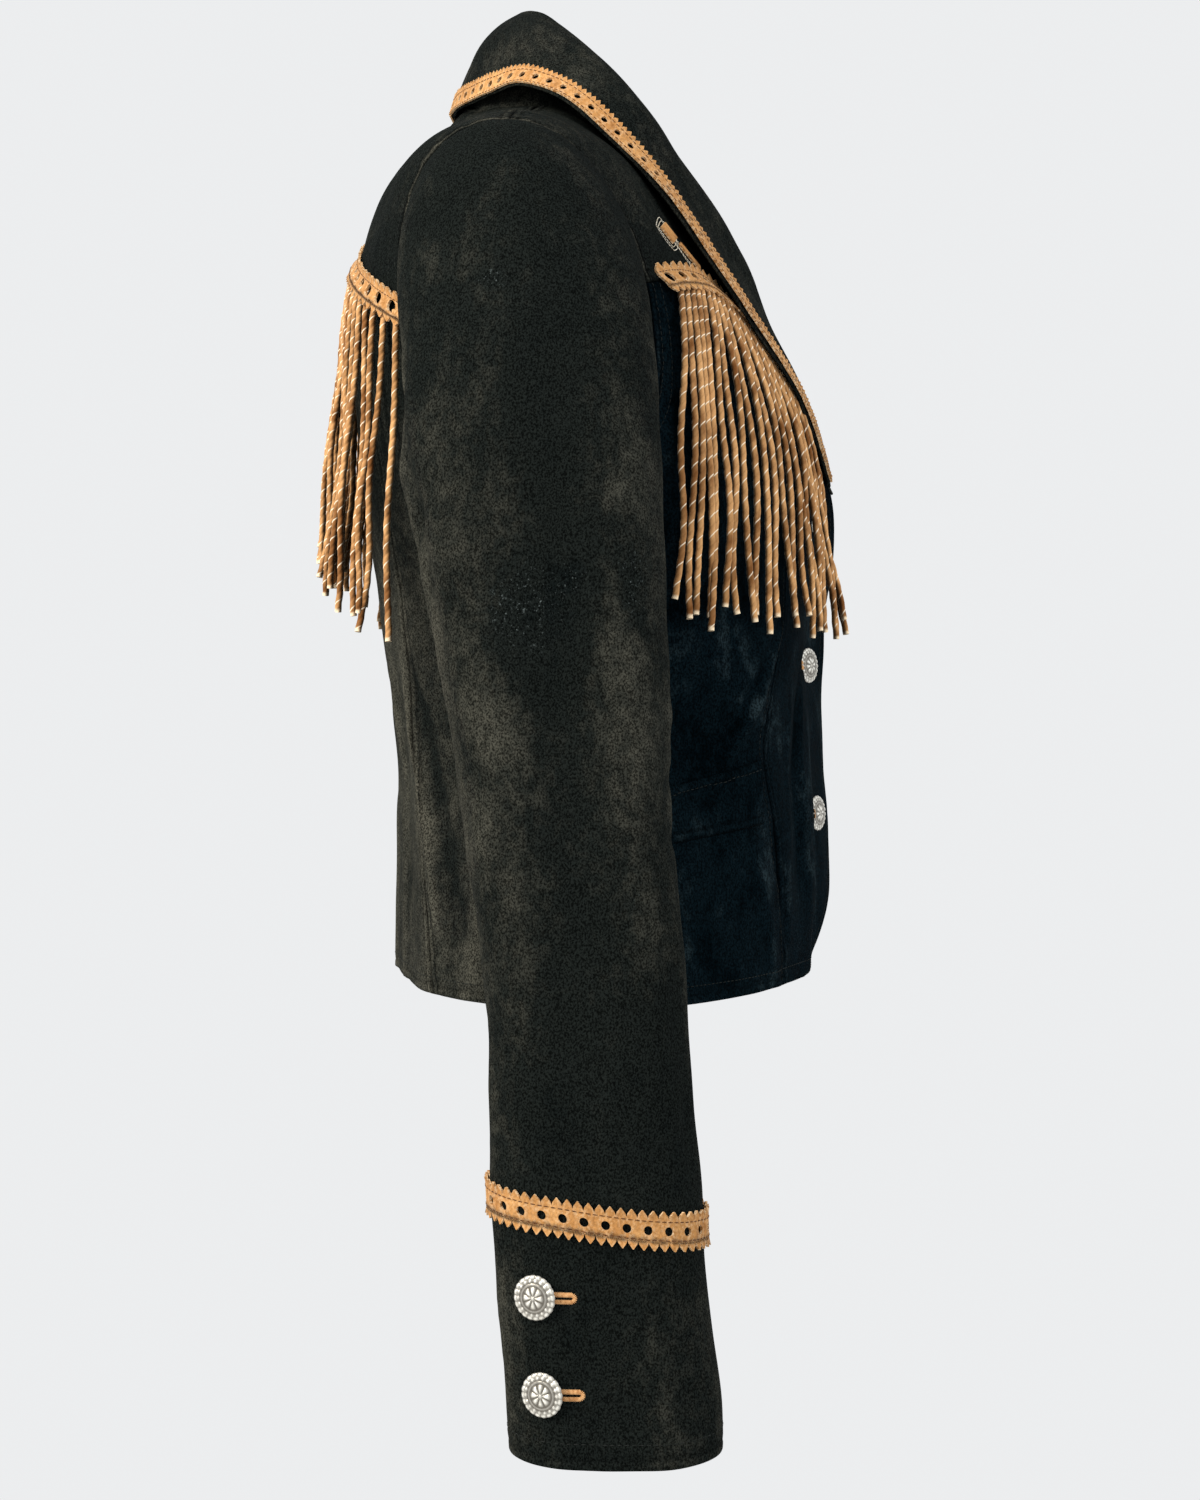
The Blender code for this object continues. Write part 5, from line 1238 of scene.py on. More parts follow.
# %% Sleeves
SCUFFS = (  # y, z, half width, half height, strength
    (0.004, -0.283, 0.013, 0.016, 1.00), (-0.018, -0.27, 0.007, 0.006, 0.6),
    (-0.045, -0.27, 0.005, 0.016, 0.9), (0.018, -0.133, 0.006, 0.004, 0.9),
    (-0.0593, -0.2, 0.003, 0.01, 0.6), (-0.045, -0.41, 0.003, 0.009, 0.4),
)


def scuffed(points, side, wider=1.0):
    """How far the nap is rubbed pale at each place of a sleeve, from 0 to 1."""
    total = np.zeros(points.shape[:-1])
    shift = 0.0 if side < 0 else 0.023  # the left sleeve is rubbed in other places
    for y, z, half_width, half_height, strength in SCUFFS:
        across = (points[..., 1] - y - shift) / (half_width * wider)
        up = (points[..., 2] - z + shift) / (half_height * wider)
        total += strength * np.exp(-(across ** 2 + up ** 2))
    return np.clip(total, 0, 1)


for side, tag in SIDES:
    for name, low, high in (
        ("over_sleeve_panel", SLEEVE_SEAMS[1] - math.tau, SLEEVE_SEAMS[0]),
        ("under_sleeve_panel", SLEEVE_SEAMS[0], SLEEVE_SEAMS[1]),
    ):
        t, phi = np.meshgrid(np.linspace(0, 1, 90), np.linspace(low, high, 60), indexing="ij")
        phi, t = refined(sleeve, phi, t)
        points, normals = on_surface(sleeve, phi, t, 0.0, side)
        from_seam = run_lengths(points, 0)[..., None]
        away, high = unit(points[:1] - points[8:9]), ease((points[:1, :, 2:] + 0.13) / 0.03)
        tucked = high * (1 - ease(from_seam / 0.006))  # the seam reaches under the yokes
        points = points + (0.0024 * away - 0.0015 * normals) * tucked
        along_back = (np.degrees(phi) + 82.0 + 360.0 * (phi > math.pi)) % 360.0
        # Painted light and shade: a painted sheen along the back of the arm and at its front edge,
        # lighter on crease and fold ridges and darker in their troughs. It is also darker towards
        # the armhole and down the lower arm, lighter at the cuff, and darker round the chalky
        # scuffs.
        nap_and_painted_light = (0.1 + 0.22 * np.exp(-(np.minimum(along_back, 360.0 - along_back) / 26.0) ** 2)
                + 0.1 * np.exp(-((np.degrees(phi) - 88.0) / 26.0) ** 2)
                - 0.15 * (1 - ease(t / 0.3)) - 0.14 * ease((t - 0.45) / 0.3)
                + 0.07 * ease((t - 0.84) / 0.05)
                + 56.0 * sleeve_creases(t, phi) + 13.0 * sleeve_folds(t, phi)
                - 0.2 * scuffed(points, side, 1.5))
        piece = cloth_shell(f"{name}_{tag}", points, normals,
                            {"left": "seam", "right": "seam", "low": "armhole", "top": "free"},
                            nap_and_painted_light)
        if name == "over_sleeve_panel":
            paint_both(piece, "edge", scuffed(points, side))
        print(piece.name, len(piece.data.polygons), "faces")

# %% [markdown]
# ## Collar and pocket welts
#
# The collar's two halves meet at the centre back, where the grid runs on from one into
# the other. The welt is a wide strip of suede that stands at the pocket's mouth.

# %% Collar
t, w = np.meshgrid(np.linspace(0, 0.9995, 80), np.linspace(0.006, 0.9995, 46), indexing="ij")
t, w = refined(collar(1), t, w)
halves = [on_surface(collar(side), t, w, 0.0, side) for side in (-1, 1)]
points, normals = (np.concatenate([halves[0][k][:0:-1], halves[1][k]]) for k in (0, 1))
from_seam = run_lengths(points, 1)[..., None]
down = unit(points[:, :1] - points[:, 8:9])
points = points + 0.0042 * down * (1 - ease(from_seam / 0.009))  # reaches under the yokes
cloth_shell("collar_panel", points, normals,
            {"right": "free", "low": "free", "top": "free"}, 0.1)

# %% Pocket welts
def pocket(along):
    """theta, and v of the welt's lower and upper edge, at a share of its length."""
    between = lambda start, end: POCKET[start] + (POCKET[end] - POCKET[start]) * along
    return (np.radians(between("theta_front", "theta_back")), between("low_front", "low_back"),
            between("top_front", "top_back"))


for side, tag in SIDES:
    up, along = np.meshgrid(np.linspace(0, 1, 20), np.linspace(0, 1, 40), indexing="ij")
    theta, low, high = pocket(along)
    theta, v = refined(body, theta, low + (high - low) * up)
    points, normals = on_surface(body, theta, v, FRINGE_GAP + SUEDE, side)
    cloth_shell(f"pocket_welt_panel_{tag}", points, normals,
                {"left": "quiet", "right": "quiet", "low": "seam", "top": "free"}, -0.02,
                laid_suede_painted_shade)

# %% [markdown]
# ## Pinked bands
#
# The trim is cut flat: a strip of tan suede with pinked teeth and a row of punched
# holes. It is cut in three patterns: coarse for the yokes, finer for the sleeves, and
# with three small teeth to a hole for the collar. So one repeat is drawn as a flat mesh,
# and Geometry Nodes set copies of it in a line and merge them into a strip. The strip
# is then laid on the garment along its seam and given its thickness.

# %% One repeat of the trim
TOOTH = ((0.0, 0.0), (0.11, 0.42), (0.34, 0.78), (0.5, 0.985))  # share of width, of depth
REPEATS = {}


def trim_repeat(name, low, high, depth, teeth_below, pitch, hole_radius, teeth=2):
    """Flat repeat from x 0 to 1 pitch: a body between heights low and high with a hole,
    teeth of a given depth above it and, if asked, below."""
    REPEATS[name] = (low, high, pitch, teeth)
    middle = (low + high) / 2
    places, faces = [], []

    def vertex(x, y):
        places.append((x, y, 0.0))
        return len(places) - 1

    share, tall = np.linspace(0, 1, 2 * teeth + 1)[:-1], high - low
    frame_points = ([(s, low) for s in share] + [(1.0, low + s * tall) for s in share]
                    + [(1 - s, high) for s in share] + [(0.0, high - s * tall) for s in share])
    outline = [vertex(x * pitch, y) for x, y in frame_points]
    hole = []
    for x, y in frame_points:
        way = unit(np.array([x * pitch - pitch / 2, y - middle]))
        hole.append(vertex(pitch / 2 + hole_radius * way[0], middle + hole_radius * way[1]))
    faces += [(outline[k], outline[k - len(hole) + 1], hole[k - len(hole) + 1], hole[k])
              for k in range(len(hole))]
    for sign, base in ((1, high), (-1, low)) if teeth_below else ((1, high),):
        for tooth in range(teeth):
            rows = [[vertex((tooth + x) * pitch / teeth, base + sign * y * depth)
                     for x in (inset, 0.5, 1 - inset)] for inset, y in TOOTH[:3]]
            tip = [vertex((tooth + x) * pitch / teeth, base + sign * TOOTH[3][1] * depth)
                   for x in (0.45, 0.55)]
            for lower, upper in zip(rows, rows[1:]):
                faces += [(lower[k], lower[k + 1], upper[k + 1], upper[k]) for k in (0, 1)]
            faces += [(rows[2][0], rows[2][1], tip[0]), (rows[2][1], tip[1], tip[0]),
                      (rows[2][1], rows[2][2], tip[1])]
    mesh = bpy.data.meshes.new(name)
    mesh.from_pydata(places, [], faces)
    return bpy.data.objects.new(name, mesh)


# %% Geometry Nodes: a strip of repeats
def new_tree(name, sizes):
    """A geometry group with named sizes between its geometry and its finish."""
    return new_group(name, "GeometryNodeTree", [
        ("Geometry", GEOMETRY, None), *sizes, ("Finish", "NodeSocketMaterial", None),
    ], [("Geometry", GEOMETRY)])


def geo(tree, kind, inputs, **settings):
    """Adds a geometry node, and gives its first output."""
    return add(tree, "GeometryNode" + kind, inputs, **settings).outputs[0]


def end_tree(tree, group_in, group_out, copies, weld=0.0):
    """Makes a tree's copies real, merges what touches if asked, and sets the finish."""
    real = geo(tree, "RealizeInstances", {"Geometry": copies})
    if weld:
        real = geo(tree, "MergeByDistance", {"Geometry": real, "Distance": weld})
    tree.links.new(geo(tree, "SetMaterial", {"Geometry": real, "Material": group_in["Finish"]}),
                   group_out[0])


strip_tree, strip_in, strip_out = new_tree("strip_of_repeats", [
    ("Repeat", "NodeSocketObject", None), ("Count", "NodeSocketInt", 10),
    ("Pitch", FLOAT, 0.0093)])
step = add(strip_tree, "ShaderNodeCombineXYZ", {"X": strip_in["Pitch"]}).outputs[0]
line = geo(strip_tree, "MeshLine", {"Count": strip_in["Count"], "Offset": step})
repeat = add(strip_tree, "GeometryNodeObjectInfo", {"Object": strip_in["Repeat"]})
copies = geo(strip_tree, "InstanceOnPoints", {
    "Points": line, "Instance": repeat.outputs["Geometry"]})
end_tree(strip_tree, strip_in, strip_out, copies, 2e-5)


def grown(name, base, tree, values):
    """A plain mesh made by a node tree from a base mesh."""
    source = put_in_scene(name, base)
    modifier = source.modifiers.new("grow", "NODES")
    modifier.node_group = tree
    for item in tree.interface.items_tree:
        if item.in_out == "INPUT" and item.name in values:
            modifier[item.identifier] = values[item.name]
    ready = source.evaluated_get(bpy.context.evaluated_depsgraph_get())
    mesh = bpy.data.meshes.new_from_object(ready)
    source.modifiers.remove(modifier)
    bpy.data.objects.remove(source)
    return mesh


# %% A strip laid on the garment
TRACKS = {}


def laid_band(name, repeat, track, closed=False, curl=0.0009):
    """Bends a flat strip over the garment. A track is its length and a function that
    gives points and normals under it, at a length s along it and a height u across."""
    length, place = TRACKS[name] = track
    low, high, pitch, teeth = REPEATS[repeat.name]
    count = int(round(length / pitch))
    flat = grown(name + "_flat", bpy.data.meshes.new("empty"), strip_tree, {
        "Repeat": repeat, "Count": count, "Pitch": pitch, "Finish": tan_suede})
    x, u, _ = vertices_of(flat).T
    heights, flat_faces = u, [tuple(face.vertices) for face in flat.polygons]
    s = x * (length / (count * pitch))
    draw = np.random.default_rng(len(name) + count)
    each = draw.uniform(0.2, 1.0, (2, teeth * count + 2))
    tooth = np.floor(x / (pitch / teeth) - 1e-4).astype(int) % (teeth * count)
    beyond = np.where(u > high, u - high, np.where(u < low, low - u, 0.0)) / 0.0035
    lift = curl * beyond ** 1.6 * each[(u < low).astype(int), tooth]
    lift = lift + 0.00012 * waves(s, (0.013, 0.021, 0.034), count)
    base, normals = place(s, u)
    outer = base + normals * (lift + TAN_SUEDE)[:, None]
    inner = base + normals * lift[:, None]
    points = np.vstack([outer, inner])
    total = len(x)
    weld = np.arange(total)
    if closed:
        first = np.flatnonzero(x < 1e-5)
        last = np.flatnonzero(x > count * pitch - 1e-5)
        for k in last:
            weld[k] = first[int(np.argmin(np.abs(heights[first] - heights[k])))]
    faces = [tuple(int(weld[i]) for i in face) for face in flat_faces]
    sides = {}
    for face in faces:
        for i, j in zip(face, face[1:] + face[:1]):
            sides[i, j] = sides.get((i, j), 0) + 1
    rim = [(i, j) for i, j in sides if (j, i) not in sides]
    walls = [(j, i, i + total, j + total) for i, j in rim]
    whole = faces + [tuple(i + total for i in reversed(face)) for face in faces] + walls
    used = sorted({i for face in whole for i in face})
    number = {i: k for k, i in enumerate(used)}
    piece = new_mesh_object(name, points[used], [tuple(number[i] for i in f) for f in whole],
                            tan_suede)
    piece.data.set_sharp_from_angle(angle=math.radians(50))
    on_rim = {number[k] for pair in rim for i in pair for k in (i, i + total)}
    cut = [1.0 if set(face.vertices) <= on_rim and len(face.vertices) == 4 and k >= 2 * len(faces)
           else 0.32 * (i in on_rim)
           for k, face in enumerate(piece.data.polygons) for i in face.vertices]
    paint(piece, "edge", cut, "CORNER")
    bpy.data.meshes.remove(flat)
    print(name, count, "repeats,", len(whole), "faces")
    return piece


BODY_HALF = 0.0048  # half the height of a band between its teeth
sleeve_trim = trim_repeat("trim_for_the_sleeves", -BODY_HALF, BODY_HALF, 0.0037, True,
                          0.0093, 0.002)
yoke_trim = trim_repeat("trim_for_the_yokes", -BODY_HALF, BODY_HALF, 0.0041, True,
                        0.0142, 0.0034)
collar_trim = trim_repeat("trim_for_the_collar", 0.0004, 0.01, 0.0023, False,
                          0.0096, 0.0019, 3)

# %% Bands along the yoke seams
YOKE_BAND_U = (-0.0085, -0.0022, 0.0018, 0.0085)
YOKE_BAND_LEVELS = (0.0039, 0.0031, 0.0011, 0.0006)  # its lower part rides over the fringe


def as_left(theta):
    """The same place on the left half of the body, for a theta past the centre back."""
    return np.where(theta > math.pi, math.tau - theta, theta)


def seam_offset(theta, v, up):
    """Moves a place on the body up the body by a distance in metres."""
    step = 1e-3
    rate = np.linalg.norm(body(theta, v + step) - body(theta, v - step), axis=-1) / (2 * step)
    return v + up / rate


def yoke_track(start, end, back, side, slant=0.0):
    """Length of a yoke seam, and the place on it for a length s and a height u."""
    fine = np.linspace(start, end, 600)
    v = yoke_line(as_left(fine), back)
    run = run_lengths(lifted(body, fine, v, 0.0 if back else front_lift(fine, v, side)), 0)

    def place(s, u, rise=None):
        s = s + slant * u * ease((s - run[-1] + 0.03) / 0.03)
        theta = np.interp(s, run, fine)
        theta = theta + (s - np.clip(s, 0, run[-1])) * (fine[-1] - fine[-2]) / (run[-1] - run[-2])
        v = seam_offset(theta, yoke_line(as_left(theta), back), u)
        level = smooth_through(YOKE_BAND_U, YOKE_BAND_LEVELS, u) if rise is None else rise
        if not back:
            level = level + front_lift(theta, v, side)
        return on_surface(body, theta, v, level, side)

    return float(run[-1]), place


for side, tag in SIDES:
    laid_band(f"front_trim_{tag}", yoke_trim,
              yoke_track(math.radians(30.5), YOKE_FRONT_ARM - 0.078, False, side, 0.45))
laid_band("back_trim", yoke_trim,
          yoke_track(YOKE_BACK_ARM + 0.028, math.tau - YOKE_BACK_ARM - 0.028, True, 1))

# %% Bands round the sleeves, above the cuff
def sleeve_height(z):
    """t at which the middle of the sleeve is at height z."""
    middle = (SLEEVE_LINES[:, 1] + SLEEVE_LINES[:, 3]) / 2
    return smooth_through(-middle, SLEEVE_T, -z)


def cuff_track(side):
    fine = np.linspace(SLEEVE_SEAMS[1] - math.tau, SLEEVE_SEAMS[1], 900)
    drop = (SLEEVE_BAND_Z["front"] - SLEEVE_BAND_Z["back"]) / 2
    height = lambda phi: (SLEEVE_BAND_Z["front"] + SLEEVE_BAND_Z["back"]) / 2 + drop * np.sin(phi)
    run = run_lengths(sleeve(fine, sleeve_height(height(fine))), 0)

    def place(s, u, rise=FRINGE_GAP):
        phi = np.interp(np.mod(s, run[-1]), run, fine)
        t = sleeve_height(height(phi) + u)
        return on_surface(sleeve, phi, t, rise, side)

    return float(run[-1]), place


for side, tag in SIDES:
    laid_band(f"cuff_trim_{tag}", sleeve_trim, cuff_track(side), closed=True)

# %% Bands along the collar's outer edge, toothed on their inner side alone
def collar_track(side):
    surface = collar(side)
    t = np.linspace(0.0006, 0.994, 260)
    w_fine = np.linspace(0.3, 1.0, 60)
    path = surface(t[:, None], w_fine[None, :])[:, ::-1]
    from_edge = run_lengths(path, 1)
    marks = np.linspace(0.0, 0.015, 31)
    narrow = np.minimum(1.0, 0.6 * from_edge[:, -1] / COLLAR_BAND_WIDTH)
    w_at = np.stack([np.interp(marks * narrow[k], from_edge[k], w_fine[::-1])
                     for k in range(len(t))])
    middle = surface(t, w_at[:, 10])
    run = run_lengths(middle, 0)

    def place(s, u, rise=COLLAR_GAP):
        row = np.clip(np.interp(s, run, np.arange(len(t))), 0, len(t) - 1.001)
        column = np.clip(u / (marks[1] - marks[0]), 0, len(marks) - 1.001)
        return on_surface(surface, np.interp(s, run, t), read_between(w_at, row, column),
                          rise, side)

    return float(run[-1]), place


for side, tag in SIDES:
    laid_band(f"collar_trim_{tag}", collar_trim, collar_track(side), curl=0.0012)

# %% [markdown]
# ## Fringe
#
# Each cord of the fringe is a narrow strip of suede, twisted tight. Its paler cut edge
# winds round it like the stripe on a barber's pole. The cords hang from under the yoke
# bands. They gather in small bunches, and no two end level. Geometry Nodes draw a tube
# along each path, turned a little off its axis as it goes, as a twisted strip is.

# %% Geometry Nodes: cords along paths
cord_tree, cord_in, cord_out = new_tree("twisted_cords", [
    ("Radius", FLOAT, 0.0017), ("Ring spacing", FLOAT, 0.0023),
    ("Turn length", FLOAT, CORD_TURN), ("Wander", FLOAT, 0.00016)])
kept = geo(cord_tree, "MeshToCurve", {"Mesh": cord_in["Geometry"]})
kept = geo(cord_tree, "ResampleCurve", {"Curve": kept, "Length": cord_in["Ring spacing"]},
           mode="LENGTH")
run = add(cord_tree, "GeometryNodeSplineParameter").outputs
for label, value in (("along", run["Length"]), ("share", run["Factor"])):
    kept = geo(cord_tree, "StoreNamedAttribute", {"Geometry": kept, "Name": label, "Value": value},
               data_type="FLOAT", domain="POINT")
winding = maths(cord_tree, "DIVIDE", run["Length"], cord_in["Turn length"])
winding = maths(cord_tree, "MULTIPLY", winding, math.tau)
off_axis = add(cord_tree, "ShaderNodeCombineXYZ", {
    "X": maths(cord_tree, "COSINE", winding), "Y": maths(cord_tree, "SINE", winding)})
off_axis = vectors(cord_tree, "SCALE", {0: off_axis.outputs[0], "Scale": cord_in["Wander"]})
kept = geo(cord_tree, "SetPosition", {"Geometry": kept, "Offset": off_axis})
ring = geo(cord_tree, "CurvePrimitiveCircle", {"Resolution": 8, "Radius": cord_in["Radius"]},
           mode="RADIUS")
ring = geo(cord_tree, "StoreNamedAttribute", {
    "Geometry": ring, "Name": "around", "Value": geo(cord_tree, "InputPosition", {})},
    data_type="FLOAT_VECTOR", domain="POINT")
tubes = geo(cord_tree, "CurveToMesh", {"Curve": kept, "Profile Curve": ring, "Fill Caps": True})
end_tree(cord_tree, cord_in, cord_out, geo(cord_tree, "SetShadeSmooth", {"Geometry": tubes}))


def line_mesh(name, lines):
    """A mesh of open lines, as edges alone."""
    points, edges = [], []
    for line in lines:
        first = len(points)
        points += np.asarray(line).tolist()
        edges += [(first + k, first + k + 1) for k in range(len(line) - 1)]
    mesh = bpy.data.meshes.new(name)
    mesh.from_pydata(points, edges, [])
    return mesh


# %% Where each cord hangs
CORD_POINTS = 22  # along each cord's path


def hanging_path(start, low_z, back, slope, drift, side):
    """Centres of a cord that hangs down from start. Where the body comes further out
    the cord lies against it, and hangs free again below that. In front it slides
    sideways on the body, the more so the nearer it is to the arm."""
    z = start[2] + (low_z - start[2]) * np.array([0.0, 0.15, 0.36, 0.65, 1.0])
    z[0] = start[2] - 0.004
    place = np.array(start[:2], float)
    aside = 0.0 if back else 0.88 * float(ease((start[0] - 0.05) / 0.07))
    path = []
    for k in range(len(z)):
        fall = z[k - 1] - z[k] if k else 0.0
        place = place + fall * np.array([drift, slope if back else -slope])
        theta, v, points, outward = outline_at(z[k])
        for _ in range(3):
            near = np.argmin(np.linalg.norm(points - place, axis=1))
            level = FRINGE_GAP + CORD_SIDE * 0.72
            if k:
                level += CORD_CLEAR * (1 + float(ease((np.degrees(theta[near]) - 48.0) / 15.0))
                                       * (not back))
            if not back:
                level += float(front_lift(theta[near], v[near], side))
            way = unit(outward[near] * (1 - aside) + np.array([aside, 0.0]))
            inside = level - (place - points[near]) @ outward[near]
            place = place + max(0.0, inside) * way / (way @ outward[near])
        path.append([place[0], place[1], z[k]])
    return np.array(path)


def cord_paths(theta, ends, slopes, drifts, side, back):
    """One smooth line for each cord, from its root under the band to its cut end."""
    seam = yoke_line(as_left(theta), back)
    v = seam_offset(theta, seam, STRIP_LOW)
    level = FRINGE_GAP + CORD_SIDE / 2 + front_lift(theta, v, side) * (not back)
    roots = lifted(body, theta, v, level)
    up = lifted(body, theta, seam_offset(theta, seam, STRIP_TOP), level)
    draw = np.random.default_rng(40 + side + 7 * back)
    bunch = np.repeat(np.arange(len(theta)), draw.integers(2, 5, len(theta)))[:len(theta)]
    lines = []
    for k in range(len(theta)):
        flip = np.array([-1.0 if theta[k] > math.pi else 1.0, 1.0, 1.0])
        path = hanging_path(roots[k] * flip, ends[k], back, slopes[k], drifts[k], side) * flip
        path = np.vstack([up[k], roots[k], path])
        run = run_lengths(path, 0)
        lines.append(smooth_through(run, path, np.linspace(0, run[-1], CORD_POINTS)))
    lines, down = np.array(lines), np.linspace(0, 1, CORD_POINTS)
    for one in np.unique(bunch):
        members = bunch == one
        middle = lines[members].mean(axis=0, keepdims=True)
        towards = (middle - lines[members]) * draw.uniform(0.3, 0.7) * down[:, None] ** 1.5
        towards[..., 1:] *= 0.4
        lines[members] += towards
    sway = down[None, :] ** 0.9
    for axis, amount in ((0, 0.0022), (1, 0.0019)):
        wave = draw.uniform(5, 12, (len(theta), 1)) * down[None]
        lines[..., axis] += amount * sway * np.sin(wave + draw.uniform(0, 6.3, (len(theta), 1)))
    outer_row = 1 + (np.arange(len(theta)) % 2)[:, None]
    lines[..., 1] += (0.0009 if back else -0.0009) * sway * outer_row
    return [mirrored(line, side) for line in lines]


def hang_fringe(name, *settings):
    lines = cord_paths(*settings)
    mesh = grown(name, line_mesh(name + "_paths", lines), cord_tree, {"Finish": cord_suede})
    print(name, len(lines), "cords,", len(mesh.polygons), "faces")
    put_in_scene(name, mesh)


# %% The three fringes
k = np.arange(FRONT_CORDS)
for side, tag in SIDES:
    theta = np.linspace(FRINGE_START[side], YOKE_FRONT_ARM - 0.165, FRONT_CORDS)
    ends = FRONT_FRINGE_END + 0.006 * np.sin(k * 2.4 + side) + 0.003 * np.cos(k * 5.1)
    slopes = (0.17 * (1 - k / k[-1]) ** 1.8 - 0.03 * (k / k[-1]) ** 6
              + 0.008 * np.sin(k * 1.7 + side))
    drifts = 0.007 * np.sin(k * 0.9 + 1.3 * side)
    hang_fringe(f"front_cords_{tag}", theta, ends, slopes, drifts, side, False)
start = YOKE_BACK_ARM + 0.05
theta = np.linspace(start, math.tau - start, BACK_CORDS)
k = np.arange(BACK_CORDS)
near = as_left(theta)
ends = (body(near, yoke_line(near, True))[:, 2] - BACK_FRINGE_LENGTH - 0.012
        + 0.005 * np.sin(k * 2.1) + 0.003 * np.cos(k * 4.7))
centred = 1 - ((theta - math.pi) / (math.pi - start)) ** 2
hang_fringe("back_cords", theta, ends, 0.04 + 0.06 * centred + 0.025 * np.sin(k * 1.9),
            0.02 * np.sin(k * 0.8), 1, True)

# %% [markdown]
# ## Stitches
#
# Seams and trims are sewn with short stitches, about three to the centimetre. A stitch
# is a tiny bead of thread that sinks into the suede at both ends. The script marks
# where the stitches go along each seam, and Geometry Nodes set a bead on each mark,
# turned along the seam.

# %% Geometry Nodes: threads on marks
stitch_tree, stitch_in, stitch_out = new_tree("sewn_threads", [
    ("Thickness", FLOAT, 0.00055)])
bead = geo(stitch_tree, "MeshUVSphere", {"Segments": 6, "Rings": 4, "Radius": 0.5})
way = add(stitch_tree, "GeometryNodeInputNamedAttribute", {"Name": "way"},
          data_type="FLOAT_VECTOR").outputs["Attribute"]
turned = add(stitch_tree, "FunctionNodeAlignRotationToVector", {"Vector": way}, axis="Z")
size = add(stitch_tree, "ShaderNodeCombineXYZ", {
    "X": stitch_in["Thickness"], "Y": stitch_in["Thickness"],
    "Z": vectors(stitch_tree, "LENGTH", {0: way}, "Value")})
sewn = geo(stitch_tree, "InstanceOnPoints", {
    "Points": stitch_in["Geometry"], "Instance": bead, "Rotation": turned.outputs[0],
    "Scale": size.outputs[0]})
end_tree(stitch_tree, stitch_in, stitch_out,
         geo(stitch_tree, "SetShadeSmooth", {"Geometry": sewn}))


def set_down(places, ways, cloths):
    """Moves marks that float just off some cloths on to them, and turns their ways to
    lie along the cloth."""
    points, faces = [], []
    for cloth in cloths:
        faces += [[i + len(points) for i in face.vertices] for face in cloth.data.polygons]
        points += vertices_of(cloth.data).tolist()
    tree = BVHTree.FromPolygons(points, faces)
    for k, place in enumerate(places):
        spot, normal, _, _ = tree.find_nearest(Vector(place))
        normal = normal if (Vector(place) - spot).dot(normal) > 0 else -normal
        flat = Vector(ways[k]) - normal * Vector(ways[k]).dot(normal)
        places[k] = spot + normal * 0.00004
        ways[k] = flat.normalized() * np.linalg.norm(ways[k])
    return places, ways


def stitches(name, rows, thread, thickness=0.00055, cloths=()):
    """A piece made of threads: each row is (places, ways), a way being as long as the
    stitch."""
    places = np.vstack([row[0] for row in rows])
    ways = np.vstack([row[1] for row in rows])
    if cloths:
        places, ways = set_down(places, ways, cloths)
    marks = bpy.data.meshes.new(name + "_marks")
    marks.from_pydata(places.tolist(), [], [])
    marks.attributes.new("way", "FLOAT_VECTOR", "POINT").data.foreach_set(
        "vector", ways.astype(np.float32).ravel())
    mesh = grown(name, marks, stitch_tree, {"Thickness": thickness, "Finish": thread})
    piece = put_in_scene(name, mesh)
    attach(piece, "root")
    print(name, len(places), "stitches,", len(mesh.polygons), "faces")


def sewn_along(points, pitch=0.0031, length=0.0024):
    """Marks along a line of points, evenly spaced."""
    run = run_lengths(points, 0)
    count = max(2, int(run[-1] / pitch))
    at = (np.arange(count) + 0.5) * run[-1] / count
    read = lambda s: np.stack([np.interp(s, run, points[:, k]) for k in range(3)], -1)
    return read(at), unit(read(at + 5e-4) - read(at - 5e-4)) * length


# %% Stitch lines that hold the bands
def trim_row(track, u, rise):
    length, place = TRACKS[track]
    s = np.linspace(0.001, length - 0.001, int(length / 0.002))
    return sewn_along(place(s, np.full_like(s, u), rise)[0])


rows = []
for tag in ("left", "right"):
    rows += [trim_row(f"cuff_trim_{tag}", u, 0.003) for u in (-0.004, 0.004)]
    rows += [trim_row(f"collar_trim_{tag}", u, 0.003) for u in (0.0012, 0.0088)]
for name in ("front_trim_left", "front_trim_right", "back_trim"):
    for u in (-0.0041, 0.0041):
        rows.append(trim_row(name, u, 0.0015 + float(smooth_through(
            YOKE_BAND_U, YOKE_BAND_LEVELS, u)) + TAN_SUEDE))
stitches("trim_stitches", rows, brown_thread,
         cloths=[bpy.data.objects[name] for name in TRACKS])

# %% Topstitching in black beside the seams
THREAD_RISE = 0.0012  # the marks float this far off the cloth until they are set down


def row_on(surface, a, b, side, rise=THREAD_RISE):
    return sewn_along(mirrored(lifted(surface, a, b, rise), side))


def body_row(theta, v, side, rise=THREAD_RISE, level=None):
    return row_on(body, theta, v, side, rise if level is None else rise + level(theta, v, side))


def beside(theta, v, offset):
    """A line on the body moved sideways by an offset in metres, to greater theta."""
    rate = np.linalg.norm(body(theta + 1e-3, v) - body(theta - 1e-3, v), axis=-1) / 2e-3
    return theta + offset / rate


